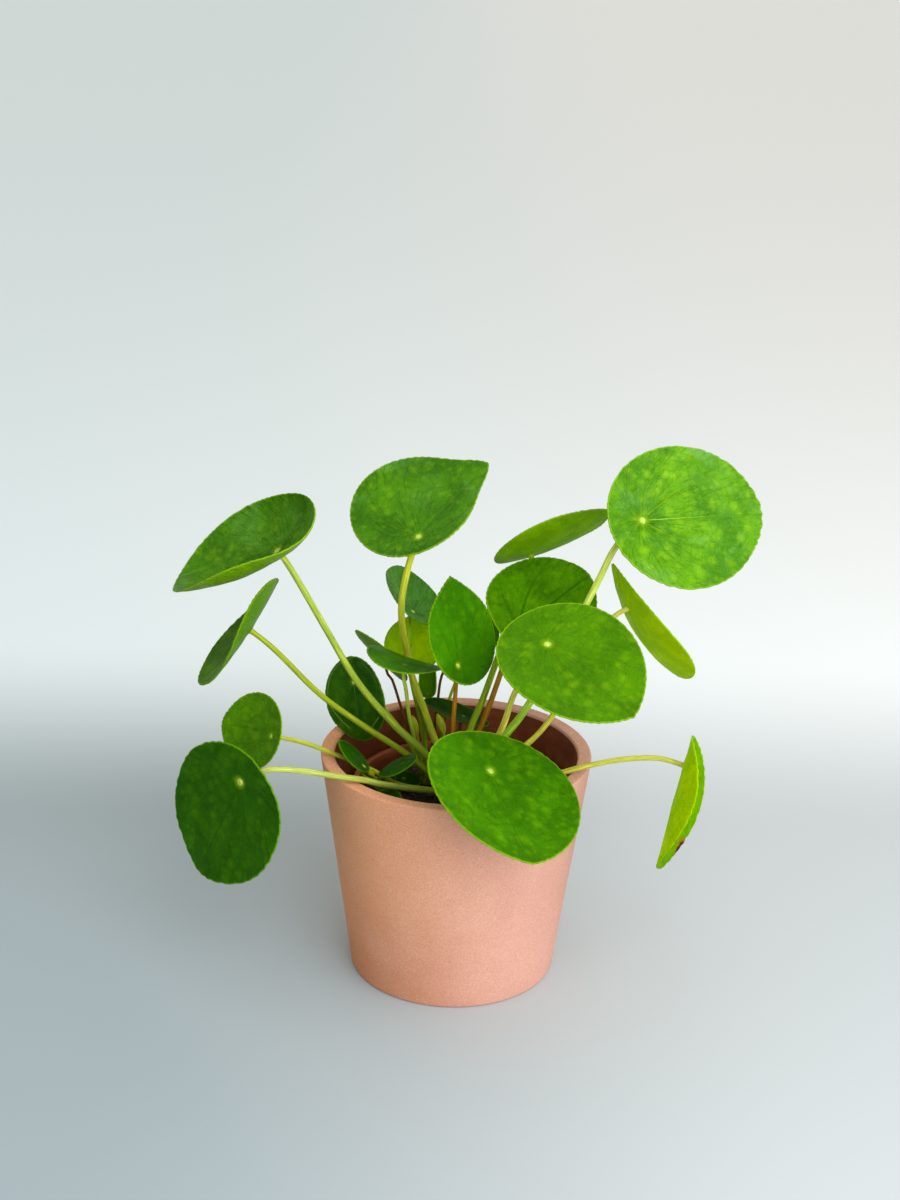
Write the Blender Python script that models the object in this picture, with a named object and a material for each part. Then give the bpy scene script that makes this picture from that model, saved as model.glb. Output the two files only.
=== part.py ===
"""A potted Chinese money plant: a nursery pot with the plant, standing in a terracotta cover pot.

Metres, +Z up. The origin is the middle of the cover pot's base, and the plant's front faces -Y.
The plant's own sizes and places are written in millimetres and degrees, as MM turns them into metres.
"""
import math
from typing import NamedTuple

import bmesh
import bpy
from mathutils import Matrix, Vector

MM = 0.001
GAP = 0.3 * MM

# Cover pot
POT_HEIGHT = 129 * MM
POT_TOP_RADIUS = 75 * MM
POT_BASE_RADIUS = 57.5 * MM
POT_WALL = 7.6 * MM
POT_FLOOR = 8 * MM
POT_EDGE = 1.2 * MM
POT_SIDES = 48

# Nursery pot, standing on the cover pot's floor
NURSERY_HEIGHT = 101.7 * MM
NURSERY_TOP_RADIUS = 54.3 * MM
NURSERY_BASE_RADIUS = 43 * MM
NURSERY_RIM_RADIUS = 57.5 * MM
NURSERY_RIM_DEPTH = 4.5 * MM
NURSERY_WALL = 1 * MM
NURSERY_ROUNDING = 1.5 * MM
NURSERY_SIDES = 40
DRAIN_RADIUS = 4 * MM
DRAIN_CIRCLE_RADIUS = 26 * MM
DRAIN_COUNT = 5
DRAIN_CUTTER_HEIGHT = 10 * MM

# Soil
SOIL_TOP = 101 * MM
SOIL_LUMP = 1.3 * MM
# Each wave: turn per millimetre of X and of Y, starting angle and share of the height
SOIL_WAVES = ((0.31, 0.27, 0.4, 0.5), (0.21, 0.55, 0, 0.3), (0.83, -0.47, 1.6, 0.2))
SOIL_SIDES = 40
SOIL_RINGS = 5
HOLE_CUTTER_HEIGHT = 60 * MM

# Stems, standing in plain holes in the soil
STEM_FOOT = 72 * MM
STEM_BEND = 103 * MM
STEM_SIDES = 12
STEM_TAPER = 0.35
SCAR_SPACING = 4.5 * MM
SCAR_RELIEF = 0.07

# Leaves
BLADE_THICKNESS = 0.9 * MM
SMALL_BLADE_THICKNESS = 0.7 * MM
SMALL_BLADE_LENGTH = 50 * MM
TIP_SPREAD = 0.38
CURL_START = 0.45
BLADE_RINGS = (0.35, 0.7, 1.0)
SMALL_BLADE_RINGS = (0.55, 1.0)
BLADE_SIDES = 28
SMALL_BLADE_SIDES = 20
PETIOLE_SIDES = 8
SLIM_PETIOLE = 2.2 * MM
SLIM_PETIOLE_SIDES = 6
PETIOLE_STEP = 14 * MM
PETIOLE_BEND = math.radians(32)
YOUNG_LEAF_STALK = 0.7 * MM
# Shares of a young leaf's length and of its radius
YOUNG_LEAF_SHAPE = ((0.25, 0.9), (0.6, 1), (1, 0.2))
SHARP_ANGLE = math.radians(35)

FINISHES = {
    "terracotta": ((0.60, 0.29, 0.19), 0.85),
    "nursery plastic": ((0.30, 0.11, 0.06), 0.50),
    "potting soil": ((0.035, 0.022, 0.015), 1.0),
    "stem green": ((0.22, 0.42, 0.05), 0.45),
    "fresh leaf": ((0.06, 0.33, 0.02), 0.35),
    "dark leaf": ((0.02, 0.17, 0.02), 0.35),
    "lime leaf": ((0.23, 0.50, 0.03), 0.40),
}


class Stem(NamedTuple):
    """One stem, in millimetres. Its foot is upright in the soil, and it bends to its crown above it."""
    place: tuple
    crown: tuple
    radius: float
    top: float


STEMS = {
    "main_stem": Stem((0, 0), (0, 0), 5.6, 118),
    "side_shoot_1": Stem((-16, 12), (-16, 12), 4.2, 109),
    "side_shoot_2": Stem((-40, -10), (-44, -13), 3, 118),
}


class Leaf(NamedTuple):
    """One leaf, in millimetres and degrees. Its midrib runs from the base edge to the tip."""
    stem: str
    place: tuple                # where the petiole meets the blade
    lean: float                 # of the blade's upper face, from straight up
    toward: float               # side that the face leans to: 0 is +X and 90 is +Y
    turn: float                 # from the blade's downhill line to its midrib
    size: tuple                 # length and width
    hold: float                 # petiole's distance from the base edge, as a share of the length
    root: tuple                 # where the petiole's middle leaves the stem
    way: tuple = ()             # places that the petiole passes on its way up
    petiole: tuple = (3, 5)     # diameter at the blade and at the stem
    straight: float = 3         # length of the petiole's end that meets the blade squarely
    droop: float = 0            # how far the base and the tip bend down
    cup: float = 0              # how far both sides bend up
    twist: float = 0
    point: float = 0.03         # how far the tip is drawn out, as a share of the length
    egg: float = 0.04           # how much wider the base half is than the tip half
    aside: float = 0            # petiole's distance from the midrib, as a share of the width
    wave: tuple = (0, 5)        # height of the edge's waves, and their number
    curl: tuple = (0, 1, 0)     # where the edge curls up: angle from the tip, spread and height
    finish: str = "fresh leaf"


LEAVES = {
    "leaf_01": Leaf("main_stem", (-96.8, -14.6, 248.8), 38, -156, -16, (93, 75), 0.37, (-2, -2, 106),
                    way=((-86, -14, 232), (-71, -11, 203), (-54, -9, 172), (-34, -6, 146), (-17, -4, 128)),
                    petiole=(3.2, 5), droop=-25, cup=58, twist=11, point=0.01, egg=-0.06,
                    wave=(0.4, 5), curl=(196, 44, 8)),
    "leaf_02": Leaf("main_stem", (-23, 22, 246), 31, -122, 148, (72, 69), 0.38, (-1, 2, 110),
                    way=((-26, 25, 236), (-30, 25, 220), (-32, 26, 204), (-31, 28, 188), (-28, 30, 172),
                         (-26, 29, 162), (-19, 20, 146), (-12, 11, 130)),
                    petiole=(3.6, 4.6), droop=0, cup=12, point=0.16, egg=0.08, aside=0.3),
    "leaf_03": Leaf("main_stem", (-111, -25, 207.8), 54.6, 177, 15, (68, 62), 0.46, (-2, -1, 104),
                    way=((-74, -17, 168), (-51, -10, 147), (-27, -3, 127)), petiole=(2.8, 4.4),
                    droop=-16, cup=22, twist=-14, egg=0.08, aside=0.04),
    "leaf_04": Leaf("main_stem", (-101, -15, 142), 68, -142, -81, (46, 43), 0.20, (-3, 1, 103),
                    way=((-85, -13, 138), (-75, -14, 135), (-63, -12, 129), (-46, -7, 119), (-31, -4, 109)),
                    petiole=(2.4, 3.4), droop=-13, cup=8, finish="dark leaf"),
    "leaf_05": Leaf("main_stem", (-114, -55, 133), 86, -127, -24, (80, 76), 0.22, (-2, -3, 104),
                    way=((-100, -52, 139), (-82, -49, 137.5), (-69, -47.5, 135), (-59, -46.5, 133),
                         (-49, -45, 131), (-39, -37, 124.8), (-29, -25, 117.6)),
                    petiole=(3, 4.6), droop=-2, cup=2, twist=3, wave=(0.6, 5), finish="dark leaf"),
    "leaf_06": Leaf("main_stem", (18, -62, 146), 31, -41, -28, (89, 87), 0.29, (1, -2, 108),
                    way=((11, -45, 134), (6, -24, 120)), petiole=(3.2, 4.8), droop=-10, cup=17),
    "leaf_07": Leaf("main_stem", (121.5, -46.5, 144), 97, -25, -2, (74, 60), 0.27, (3, -2, 104),
                    way=((108, -42, 146), (96, -38, 144), (85, -35, 141), (72, -31, 136), (65, -29, 133),
                         (58, -26, 129), (30, -13, 113)),
                    petiole=(2.8, 3.8), droop=-6, cup=44, twist=16, egg=0.07, aside=-0.17,
                    finish="lime leaf"),
    "leaf_08": Leaf("main_stem", (96, 0, 265), 52, -72, 89, (88, 80), 0.22, (2, 0, 110),
                    way=((83, 1, 250), (75, 1, 232), (68, 1, 216), (40, 0, 159), (27, 0, 139)),
                    petiole=(3.4, 5), droop=2, cup=4, twist=6, point=0.02, egg=0.05),
    "leaf_09": Leaf("main_stem", (40, 70, 221), 35, 121, -137, (70, 67), 0.29, (1, 3, 108),
                    way=((22, 38, 168), (14, 21, 150), (8, 13, 137)), petiole=(3, 4.8),
                    droop=-13, cup=20, twist=-3, finish="lime leaf"),
    "leaf_10": Leaf("main_stem", (46, -42, 210), 29, -80, 36, (81, 76), 0.28, (2, -2, 107),
                    way=((31, -29, 178), (23, -19, 148)), petiole=(3, 4.4), cup=14, egg=0.06),
    "leaf_11": Leaf("main_stem", (34, 30, 191), 48, -48, 105, (70, 65), 0.22, (2, 2, 112),
                    way=((25, 24, 169), (18, 17, 149), (11, 10, 132)), petiole=(2.8, 4),
                    droop=-19, cup=-19),
    "leaf_12": Leaf("main_stem", (94, 28, 205), 67, 19, 12, (83, 80), 0.27, (3, 1, 104),
                    way=((82, 25, 196), (54, 16, 145), (40, 11, 129)), petiole=(2.8, 4),
                    droop=-18, cup=29, twist=-7, finish="lime leaf"),
    "leaf_13": Leaf("main_stem", (0, -28, 191), 67, -38, 173, (53, 51), 0.22, (0, -3, 110),
                    way=((-1, -24, 181), (-2, -16, 149)), petiole=(2.2, 3.2), straight=2,
                    point=0.08, aside=-0.15, twist=-3),
    "leaf_14": Leaf("side_shoot_1", (-26, 52, 191), 37, -11, 132, (43, 41), 0.24, (-16, 13, 104),
                    way=((-28, 50, 184), (-28, 44, 171), (-26, 37, 158), (-19, 28, 138)),
                    petiole=(1.8, 2.6), straight=2, droop=-13, cup=26, aside=-0.05),
    "leaf_15": Leaf("side_shoot_1", (-26, 61, 167), 78, 85, -170, (39, 33), 0.5, (-15, 14, 103),
                    way=((-28, 54, 159), (-26, 43, 150), (-20, 30, 130)), petiole=(1.8, 2.4), straight=2,
                    finish="lime leaf"),
    "leaf_16": Leaf("side_shoot_1", (-29, -8, 183), 12, 30, 61, (46, 43), 0.31, (-17, 11, 105),
                    way=((-28, -5, 166), (-26, -1, 148)), petiole=(2, 2.8), straight=2,
                    droop=12, cup=6, twist=8),
    "leaf_17": Leaf("side_shoot_1", (-39, 40, 162), 52, 36, 155, (40, 38), 0.32, (-17, 13, 104),
                    way=((-37, 37, 155), (-32, 31, 142)), petiole=(1.5, 2.2), straight=2,
                    droop=-5, cup=15),
    "leaf_18": Leaf("side_shoot_1", (-58, 18, 161), 82, -133, 19, (47, 45), 0.31, (-17, 12, 103),
                    way=((-39, 16, 144), (-27, 13, 128)), petiole=(1.8, 2.6), straight=2,
                    droop=7, cup=5, twist=-6, finish="dark leaf"),
    "leaf_19": Leaf("side_shoot_2", (-50, -19, 127), 41, 0, 176, (23, 22), 0.16, (-44, -13, 115),
                    way=((-50, -17, 120),), petiole=(1.4, 2), straight=2, droop=-4, finish="dark leaf"),
    "leaf_20": Leaf("side_shoot_2", (-29, -20, 130), 27, 173, -5, (24, 23), 0.37, (-43, -13, 116),
                    way=((-35, -16, 122),), petiole=(1.4, 2), straight=2, droop=7, cup=-10,
                    finish="dark leaf"),
    "leaf_21": Leaf("side_shoot_2", (-29, 8, 107.5), 12, -60, 40, (15, 14), 0.35, (-40, -10, 105),
                    way=((-34, 2, 104.5),), petiole=(1.2, 1.8), straight=1.5, finish="dark leaf"),
    "leaf_22": Leaf("main_stem", (4, 34, 135), 22, 10, -170, (41, 30), 0.38, (0, 2, 110),
                    way=((3, 22, 123),), petiole=(2, 2.8), straight=4, droop=-6, cup=10,
                    finish="dark leaf"),
    "leaf_23": Leaf("side_shoot_2", (-36, -32, 114), 18, -120, -30, (20, 18), 0.35, (-41, -11, 108),
                    way=((-38, -24, 109),), petiole=(1.2, 1.8), straight=1.5, finish="dark leaf"),
    "leaf_24": Leaf("side_shoot_1", (-17, 48, 142), 80, -90, 180, (20, 14), 0.12, (-15, 13, 104),
                    way=((-18, 50, 136), (-18, 38, 124)), petiole=(1.5, 2), straight=2, cup=80),
    "leaf_25": Leaf("side_shoot_1", (2, 50, 166), 55, -70, 150, (25, 22), 0.25, (-15, 12, 104),
                    way=((-8, 51, 155), (-11, 49, 138), (-13, 34, 120)), petiole=(1.5, 2), straight=2,
                    cup=15),
    "leaf_26": Leaf("side_shoot_1", (9, 62, 168), 55, -70, 150, (28, 26), 0.25, (-14, 12, 104),
                    way=((-2, 55, 144), (-6, 48, 132), (-9, 34, 118)), petiole=(1.6, 2.2), straight=2,
                    cup=15),
}


class YoungLeaf(NamedTuple):
    """A leaf that is still folded into a spindle on a short stalk, in millimetres."""
    stem: str
    root: tuple
    foot: tuple
    tip: tuple
    radius: float


YOUNG_LEAVES = (
    YoungLeaf("main_stem", (-2, 3, 114), (-7, 15, 132), (-11, 18, 143), 2.2),
    YoungLeaf("side_shoot_1", (-17, 13, 106), (-22, 15, 131), (-25, 17, 142), 1.8),
    YoungLeaf("side_shoot_2", (-44, -13, 114), (-45, -13, 118), (-49, -12, 122), 1.6),
)


def remove_scene_objects():
    for thing in list(bpy.data.objects):
        bpy.data.objects.remove(thing)


def finish_material(name):
    """The finish called name, made once and shared by the pieces that have it."""
    material = bpy.data.materials.get(name)
    if material:
        return material
    colour, roughness = FINISHES[name]
    material = bpy.data.materials.new(name)
    material.use_nodes = True
    shader = material.node_tree.nodes["Principled BSDF"]
    shader.inputs["Base Color"].default_value = (*colour, 1)
    shader.inputs["Roughness"].default_value = roughness
    shader.inputs["Metallic"].default_value = 0
    return material


def add_object(name, bm, finish):
    """Turn a bmesh into a smooth shaded object of its own."""
    bmesh.ops.recalc_face_normals(bm, faces=bm.faces)
    mesh = bpy.data.meshes.new(name)
    bm.to_mesh(mesh)
    bm.free()
    mesh.shade_smooth()
    mesh.set_sharp_from_angle(angle=SHARP_ANGLE)
    mesh.materials.append(finish_material(finish))
    thing = bpy.data.objects.new(name, mesh)
    bpy.context.scene.collection.objects.link(thing)
    return thing


def turned(name, profile, sides, finish):
    """A solid of revolution about Z, from (radius, height) points that start and end on the axis."""
    bm = bmesh.new()
    line = [bm.verts.new((radius, 0, height)) for radius, height in profile]
    edges = [bm.edges.new(pair) for pair in zip(line, line[1:])]
    bmesh.ops.spin(bm, geom=line + edges, cent=(0, 0, 0), axis=(0, 0, 1),
                   angle=math.tau, steps=sides, use_merge=True)
    bmesh.ops.remove_doubles(bm, verts=bm.verts, dist=0.01 * MM)
    return add_object(name, bm, finish)


def make_pot():
    """Tapered cover pot with a flat rim and slightly softened edges."""
    slope = (POT_TOP_RADIUS - POT_BASE_RADIUS) / POT_HEIGHT
    mouth = POT_TOP_RADIUS - POT_WALL
    floor_radius = POT_BASE_RADIUS + slope * POT_FLOOR - POT_WALL
    edge = POT_EDGE
    corner = edge * (1 - math.sqrt(0.5))
    profile = [
        (0, 0),
        (POT_BASE_RADIUS - edge, 0),
        (POT_BASE_RADIUS - corner, corner),
        (POT_BASE_RADIUS + slope * edge, edge),
        (POT_TOP_RADIUS - slope * edge, POT_HEIGHT - edge),
        (POT_TOP_RADIUS - corner, POT_HEIGHT - corner),
        (POT_TOP_RADIUS - edge, POT_HEIGHT),
        (mouth + edge, POT_HEIGHT),
        (mouth + corner, POT_HEIGHT - corner),
        (mouth - slope * edge, POT_HEIGHT - edge),
        (floor_radius + slope * edge, POT_FLOOR + 2 * edge),
        (floor_radius - corner, POT_FLOOR + corner),
        (floor_radius - 2 * edge, POT_FLOOR),
        (0, POT_FLOOR),
    ]
    return turned("pot", profile, POT_SIDES, "terracotta")


def nursery_inner_radius(height):
    """Radius of the nursery pot's inside at a height below its rim."""
    foot = POT_FLOOR + GAP
    share = (height - foot) / (NURSERY_HEIGHT - NURSERY_RIM_DEPTH)
    return NURSERY_BASE_RADIUS + share * (NURSERY_TOP_RADIUS - NURSERY_BASE_RADIUS) - NURSERY_WALL


def make_nursery_pot():
    """Thin plastic pot with a rolled rim and a ring of drain holes."""
    foot = POT_FLOOR + GAP
    top = foot + NURSERY_HEIGHT
    rim_foot = top - NURSERY_RIM_DEPTH
    floor = foot + NURSERY_WALL
    rounding = NURSERY_ROUNDING
    profile = [
        (0, foot),
        (NURSERY_BASE_RADIUS - rounding, foot),
        (NURSERY_BASE_RADIUS, foot + rounding),
        (NURSERY_TOP_RADIUS, rim_foot),
        (NURSERY_RIM_RADIUS - rounding, rim_foot),
        (NURSERY_RIM_RADIUS, rim_foot + rounding),
        (NURSERY_RIM_RADIUS, top - rounding / 2),
        (NURSERY_RIM_RADIUS - rounding / 2, top),
        (NURSERY_TOP_RADIUS, top),
        (nursery_inner_radius(rim_foot), rim_foot),
        (nursery_inner_radius(floor + rounding), floor + rounding),
        (nursery_inner_radius(floor) - rounding, floor),
        (0, floor),
    ]
    pot = turned("nursery_pot", profile, NURSERY_SIDES, "nursery plastic")
    for index in range(DRAIN_COUNT):
        angle = math.tau * index / DRAIN_COUNT
        place = Vector((math.cos(angle), math.sin(angle), 0)) * DRAIN_CIRCLE_RADIUS
        place.z = foot
        cut(pot, cylinder_cutter(f"drain_cutter_{index}", place, DRAIN_RADIUS, DRAIN_CUTTER_HEIGHT))
    return pot


def cylinder_cutter(name, centre, radius, height):
    """Upright cylinder that only cuts."""
    bm = bmesh.new()
    bmesh.ops.create_cone(bm, cap_ends=True, segments=STEM_SIDES, radius1=radius, radius2=radius,
                          depth=height)
    bmesh.ops.translate(bm, verts=bm.verts, vec=centre)
    return add_object(name, bm, "potting soil")


def apply_modifiers(thing):
    """Keep the object's shape as its modifiers make it."""
    shaped = thing.evaluated_get(bpy.context.evaluated_depsgraph_get())
    mesh = bpy.data.meshes.new_from_object(shaped)
    thing.modifiers.clear()
    thing.data = mesh


def cut(thing, cutter):
    """Cut one shape out of another and remove the cutter."""
    modifier = thing.modifiers.new("cut", "BOOLEAN")
    modifier.operation = "DIFFERENCE"
    modifier.solver = "EXACT"
    modifier.object = cutter
    apply_modifiers(thing)
    bpy.data.objects.remove(cutter)


def fuse(thing, pieces):
    """Join all pieces to one object in a single Boolean union."""
    group = bpy.data.collections.new("fused")
    bpy.context.scene.collection.children.link(group)
    for piece in pieces:
        group.objects.link(piece)
    modifier = thing.modifiers.new("fused", "BOOLEAN")
    modifier.operation = "UNION"
    modifier.solver = "EXACT"
    modifier.operand_type = "COLLECTION"
    modifier.collection = group
    apply_modifiers(thing)
    for piece in pieces:
        bpy.data.objects.remove(piece)
    bpy.data.collections.remove(group)


def soil_height(x, y):
    """Lumpy surface of the soil, from a few crossing waves."""
    waves = sum(height * math.sin(turn_x * x / MM + turn_y * y / MM + start)
                for turn_x, turn_y, start, height in SOIL_WAVES)
    return SOIL_TOP + SOIL_LUMP * waves


def make_soil():
    """Soil that fills the nursery pot to a little under its rim, with a plain hole for each stem."""
    foot = POT_FLOOR + NURSERY_WALL + 2 * GAP
    shoulder = foot + NURSERY_ROUNDING
    edge = nursery_inner_radius(SOIL_TOP) - 2 * GAP
    foot_radius = nursery_inner_radius(foot) - NURSERY_ROUNDING - 2 * GAP
    around = [(math.cos(math.tau * side / SOIL_SIDES), math.sin(math.tau * side / SOIL_SIDES))
              for side in range(SOIL_SIDES)]
    bm = bmesh.new()
    centre = bm.verts.new((0, 0, soil_height(0, 0)))
    rings = []
    for step in range(1, SOIL_RINGS + 1):
        radius = edge * step / SOIL_RINGS
        rings.append([bm.verts.new((radius * x, radius * y, soil_height(radius * x, radius * y)))
                      for x, y in around])
    for height, radius in ((shoulder, nursery_inner_radius(shoulder) - 2 * GAP), (foot, foot_radius)):
        rings.append([bm.verts.new((radius * x, radius * y, height)) for x, y in around])
    for side in range(SOIL_SIDES):
        after = (side + 1) % SOIL_SIDES
        bm.faces.new((centre, rings[0][side], rings[0][after]))
        for inner, outer in zip(rings, rings[1:]):
            bm.faces.new((inner[side], outer[side], outer[after]))
            bm.faces.new((inner[side], outer[after], inner[after]))
    bm.faces.new(rings[-1])
    soil = add_object("soil", bm, "potting soil")
    for name, stem in STEMS.items():
        foot = Vector((*stem.place, 0)) * MM
        foot.z = STEM_FOOT - GAP + HOLE_CUTTER_HEIGHT / 2
        wide = stem.radius * MM * (1 + SCAR_RELIEF) + 2 * GAP
        cut(soil, cylinder_cutter(f"{name}_hole", foot, wide, HOLE_CUTTER_HEIGHT))
    return soil


def stem_body(name, stem):
    """Short stem with the rings that fallen leaves left."""
    top = stem.top * MM
    count = math.ceil((top - STEM_FOOT) / SCAR_SPACING * 2)
    place, crown = (Vector((*point, 0)) * MM for point in (stem.place, stem.crown))
    path = []
    radii = []
    for step in range(count + 1):
        height = STEM_FOOT + (top - STEM_FOOT) * step / count
        share = max(0, (height - STEM_BEND) / (top - STEM_BEND))
        middle = place.lerp(crown, share)
        middle.z = height
        path.append(middle)
        scar = SCAR_RELIEF if step % 2 else -SCAR_RELIEF
        radii.append(stem.radius * MM * (1 + scar) * (1 - STEM_TAPER * share ** 2))
    bm = bmesh.new()
    add_tube(bm, path, radii, STEM_SIDES)
    return add_object(name, bm, "stem green")


def add_tube(bm, path, radii, sides):
    """Closed round tube along a path, with a radius for each of its points."""
    across = (path[1] - path[0]).orthogonal()
    rings = []
    for index, (middle, radius) in enumerate(zip(path, radii)):
        along = (path[min(index + 1, len(path) - 1)] - path[max(index - 1, 0)]).normalized()
        across = (across - along * across.dot(along)).normalized()
        other = along.cross(across)
        ring = []
        for side in range(sides):
            angle = math.tau * side / sides
            ring.append(bm.verts.new(middle + (across * math.cos(angle) + other * math.sin(angle)) * radius))
        rings.append(ring)
    bm.faces.new(rings[0])
    bm.faces.new(rings[-1])
    for lower, upper in zip(rings, rings[1:]):
        for side in range(sides):
            after = (side + 1) % sides
            bm.faces.new((lower[side], lower[after], upper[after], upper[side]))


def smooth_path(knots, arrival):
    """Smooth curve through the knots that ends in the arrival direction.

    It has a point at least every PETIOLE_STEP, and more of them where it bends.
    """
    path = [knots[0]]
    for index in range(len(knots) - 1):
        start, end = knots[index], knots[index + 1]
        before = knots[index - 1] if index else start * 2 - end
        span = (end - start).length
        leave = (end - before).normalized() * span
        last = index == len(knots) - 2
        arrive = (arrival if last else knots[index + 2] - start).normalized() * span
        steps = max(1, round(span / PETIOLE_STEP), round(leave.angle(arrive) / PETIOLE_BEND))
        for step in range(1, steps + 1):
            t = step / steps
            path.append(start * (2 * t ** 3 - 3 * t ** 2 + 1) + leave * (t ** 3 - 2 * t ** 2 + t)
                        + end * (3 * t ** 2 - 2 * t ** 3) + arrive * (t ** 3 - t ** 2))
    return path


def blade_axes(leaf):
    """Directions of the midrib, of the blade's left side and of its upper face."""
    lean, toward, turn = (math.radians(angle) for angle in (leaf.lean, leaf.toward, leaf.turn))
    face = Vector((math.sin(lean) * math.cos(toward), math.sin(lean) * math.sin(toward), math.cos(lean)))
    downhill = Vector((math.cos(lean) * math.cos(toward), math.cos(lean) * math.sin(toward),
                       -math.sin(lean)))
    midrib = downhill * math.cos(turn) + face.cross(downhill) * math.sin(turn)
    return midrib, face.cross(midrib), face


def blade_edge(leaf, angle):
    """Point of the flat blade's edge, along and across the midrib from the petiole, in metres."""
    length, width = (size * MM for size in leaf.size)
    from_tip = min(angle, math.tau - angle)
    along = (0.5 - leaf.hold) * length + length / 2 * math.cos(angle)
    along += leaf.point * length * math.exp(-(from_tip / TIP_SPREAD) ** 2)
    across = width / 2 * math.sin(angle) * (1 - leaf.egg * math.cos(angle)) + leaf.aside * width
    return along, across


def blade_point(leaf, angle, share, height):
    """Point of the curled blade at a share of the way from the petiole to the edge.

    It is along the midrib, across it and up from the blade's face, in metres.
    """
    length, width = (size * MM for size in leaf.size)
    along, across = (share * distance for distance in blade_edge(leaf, angle))
    wave, count = leaf.wave
    height += wave * MM * math.sin(count * angle) * share ** 2
    height += edge_curl(leaf, angle, share)
    across, height = bend(across, height, -math.radians(leaf.cup) / (width / 2))
    turn = math.radians(leaf.twist) * along / (length / 2)
    across, height = (across * math.cos(turn) - height * math.sin(turn),
                      across * math.sin(turn) + height * math.cos(turn))
    along, height = bend(along, height, math.radians(leaf.droop) / (length / 2))
    return Vector((along, across, height))


def edge_curl(leaf, angle, share):
    """Extra height where a stretch of the blade's edge curls up."""
    middle, spread, lift = leaf.curl
    apart = math.remainder(angle - math.radians(middle), math.tau) / math.radians(spread)
    rise = max(0, share - CURL_START) / (1 - CURL_START)
    return lift * MM * math.exp(-apart ** 2) * rise ** 2


def bend(distance, height, curvature):
    """Roll a flat strip down around a circle of the given curvature, one over its radius."""
    if not curvature:
        return distance, height
    angle = curvature * distance
    radius = 1 / curvature + height
    return radius * math.sin(angle), radius * math.cos(angle) - 1 / curvature


def is_small(leaf):
    return leaf.size[0] * MM < SMALL_BLADE_LENGTH


def half_thickness(leaf):
    return (SMALL_BLADE_THICKNESS if is_small(leaf) else BLADE_THICKNESS) / 2


def make_blade(name, leaf):
    """Thin curled blade, split into triangles alike on its two faces."""
    half = half_thickness(leaf)
    sides = SMALL_BLADE_SIDES if is_small(leaf) else BLADE_SIDES
    shares = SMALL_BLADE_RINGS if is_small(leaf) else BLADE_RINGS
    bm = bmesh.new()
    edges = []
    for height in (half, -half):
        centre = bm.verts.new(blade_point(leaf, 0, 0, height))
        rings = [[bm.verts.new(blade_point(leaf, math.tau * side / sides, share, height))
                  for side in range(sides)] for share in shares]
        for side in range(sides):
            after = (side + 1) % sides
            bm.faces.new((centre, rings[0][side], rings[0][after]))
            for inner, outer in zip(rings, rings[1:]):
                bm.faces.new((inner[side], outer[side], outer[after]))
                bm.faces.new((inner[side], outer[after], inner[after]))
        edges.append(rings[-1])
    for side in range(sides):
        after = (side + 1) % sides
        bm.faces.new((edges[0][side], edges[1][side], edges[1][after], edges[0][after]))
    blade = add_object(name, bm, leaf.finish)
    axes = Matrix(blade_axes(leaf)).transposed().to_4x4()
    blade.matrix_basis = Matrix.Translation(Vector(leaf.place) * MM) @ axes


def petiole_path(leaf):
    """Middle line of the petiole, from inside its stem to just under the blade."""
    face = blade_axes(leaf)[2]
    end = Vector(leaf.place) * MM - face * (half_thickness(leaf) + GAP)
    knots = [Vector(point) * MM for point in (leaf.root, *reversed(leaf.way))]
    knots.append(end - face * leaf.straight * MM)
    return smooth_path(knots, face) + [end]


def make_petiole(name, leaf):
    """Round tapered stalk of one leaf."""
    path = petiole_path(leaf)
    thin, thick = (diameter * MM / 2 for diameter in leaf.petiole)
    radii = [thick + (thin - thick) * math.sqrt(step / (len(path) - 1)) for step in range(len(path))]
    bm = bmesh.new()
    add_tube(bm, path, radii, SLIM_PETIOLE_SIDES if 2 * thin < SLIM_PETIOLE else PETIOLE_SIDES)
    return add_object(name, bm, "stem green")


def make_young_leaf(name, young):
    """Slim stalk that swells into a folded leaf and ends in its tip."""
    root, foot, tip = (Vector(point) * MM for point in (young.root, young.foot, young.tip))
    radius = young.radius * MM
    path = [root, foot] + [foot.lerp(tip, share) for share, _ in YOUNG_LEAF_SHAPE]
    radii = [YOUNG_LEAF_STALK] * 2 + [radius * swell for _, swell in YOUNG_LEAF_SHAPE]
    bm = bmesh.new()
    add_tube(bm, path, radii, SLIM_PETIOLE_SIDES)
    return add_object(name, bm, "stem green")


def make_stem(name, stem):
    """A stem with the petioles of its leaves and its folded young leaves grown on it."""
    thing = stem_body(name, stem)
    grown = [make_petiole(f"petiole_of_{key}", leaf) for key, leaf in LEAVES.items()
             if leaf.stem == name]
    grown += [make_young_leaf("young_leaf", young) for young in YOUNG_LEAVES if young.stem == name]
    fuse(thing, grown)


def make_plant():
    for name, stem in STEMS.items():
        make_stem(name, stem)
    for name, leaf in LEAVES.items():
        make_blade(name, leaf)


def main():
    remove_scene_objects()
    make_pot()
    make_nursery_pot()
    make_soil()
    make_plant()


main()
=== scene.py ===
"""Looks of the potted Chinese money plant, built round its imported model.

Metres, +Z up. The plant's own sizes and places are written in millimetres and degrees, as MM turns
them into metres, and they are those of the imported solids.
"""
from itertools import accumulate
from math import ceil, cos, dist, exp, pi, radians, remainder, sin, sqrt, tau
from typing import NamedTuple

import bmesh
import bpy
from mathutils import Matrix, Vector, noise


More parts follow.
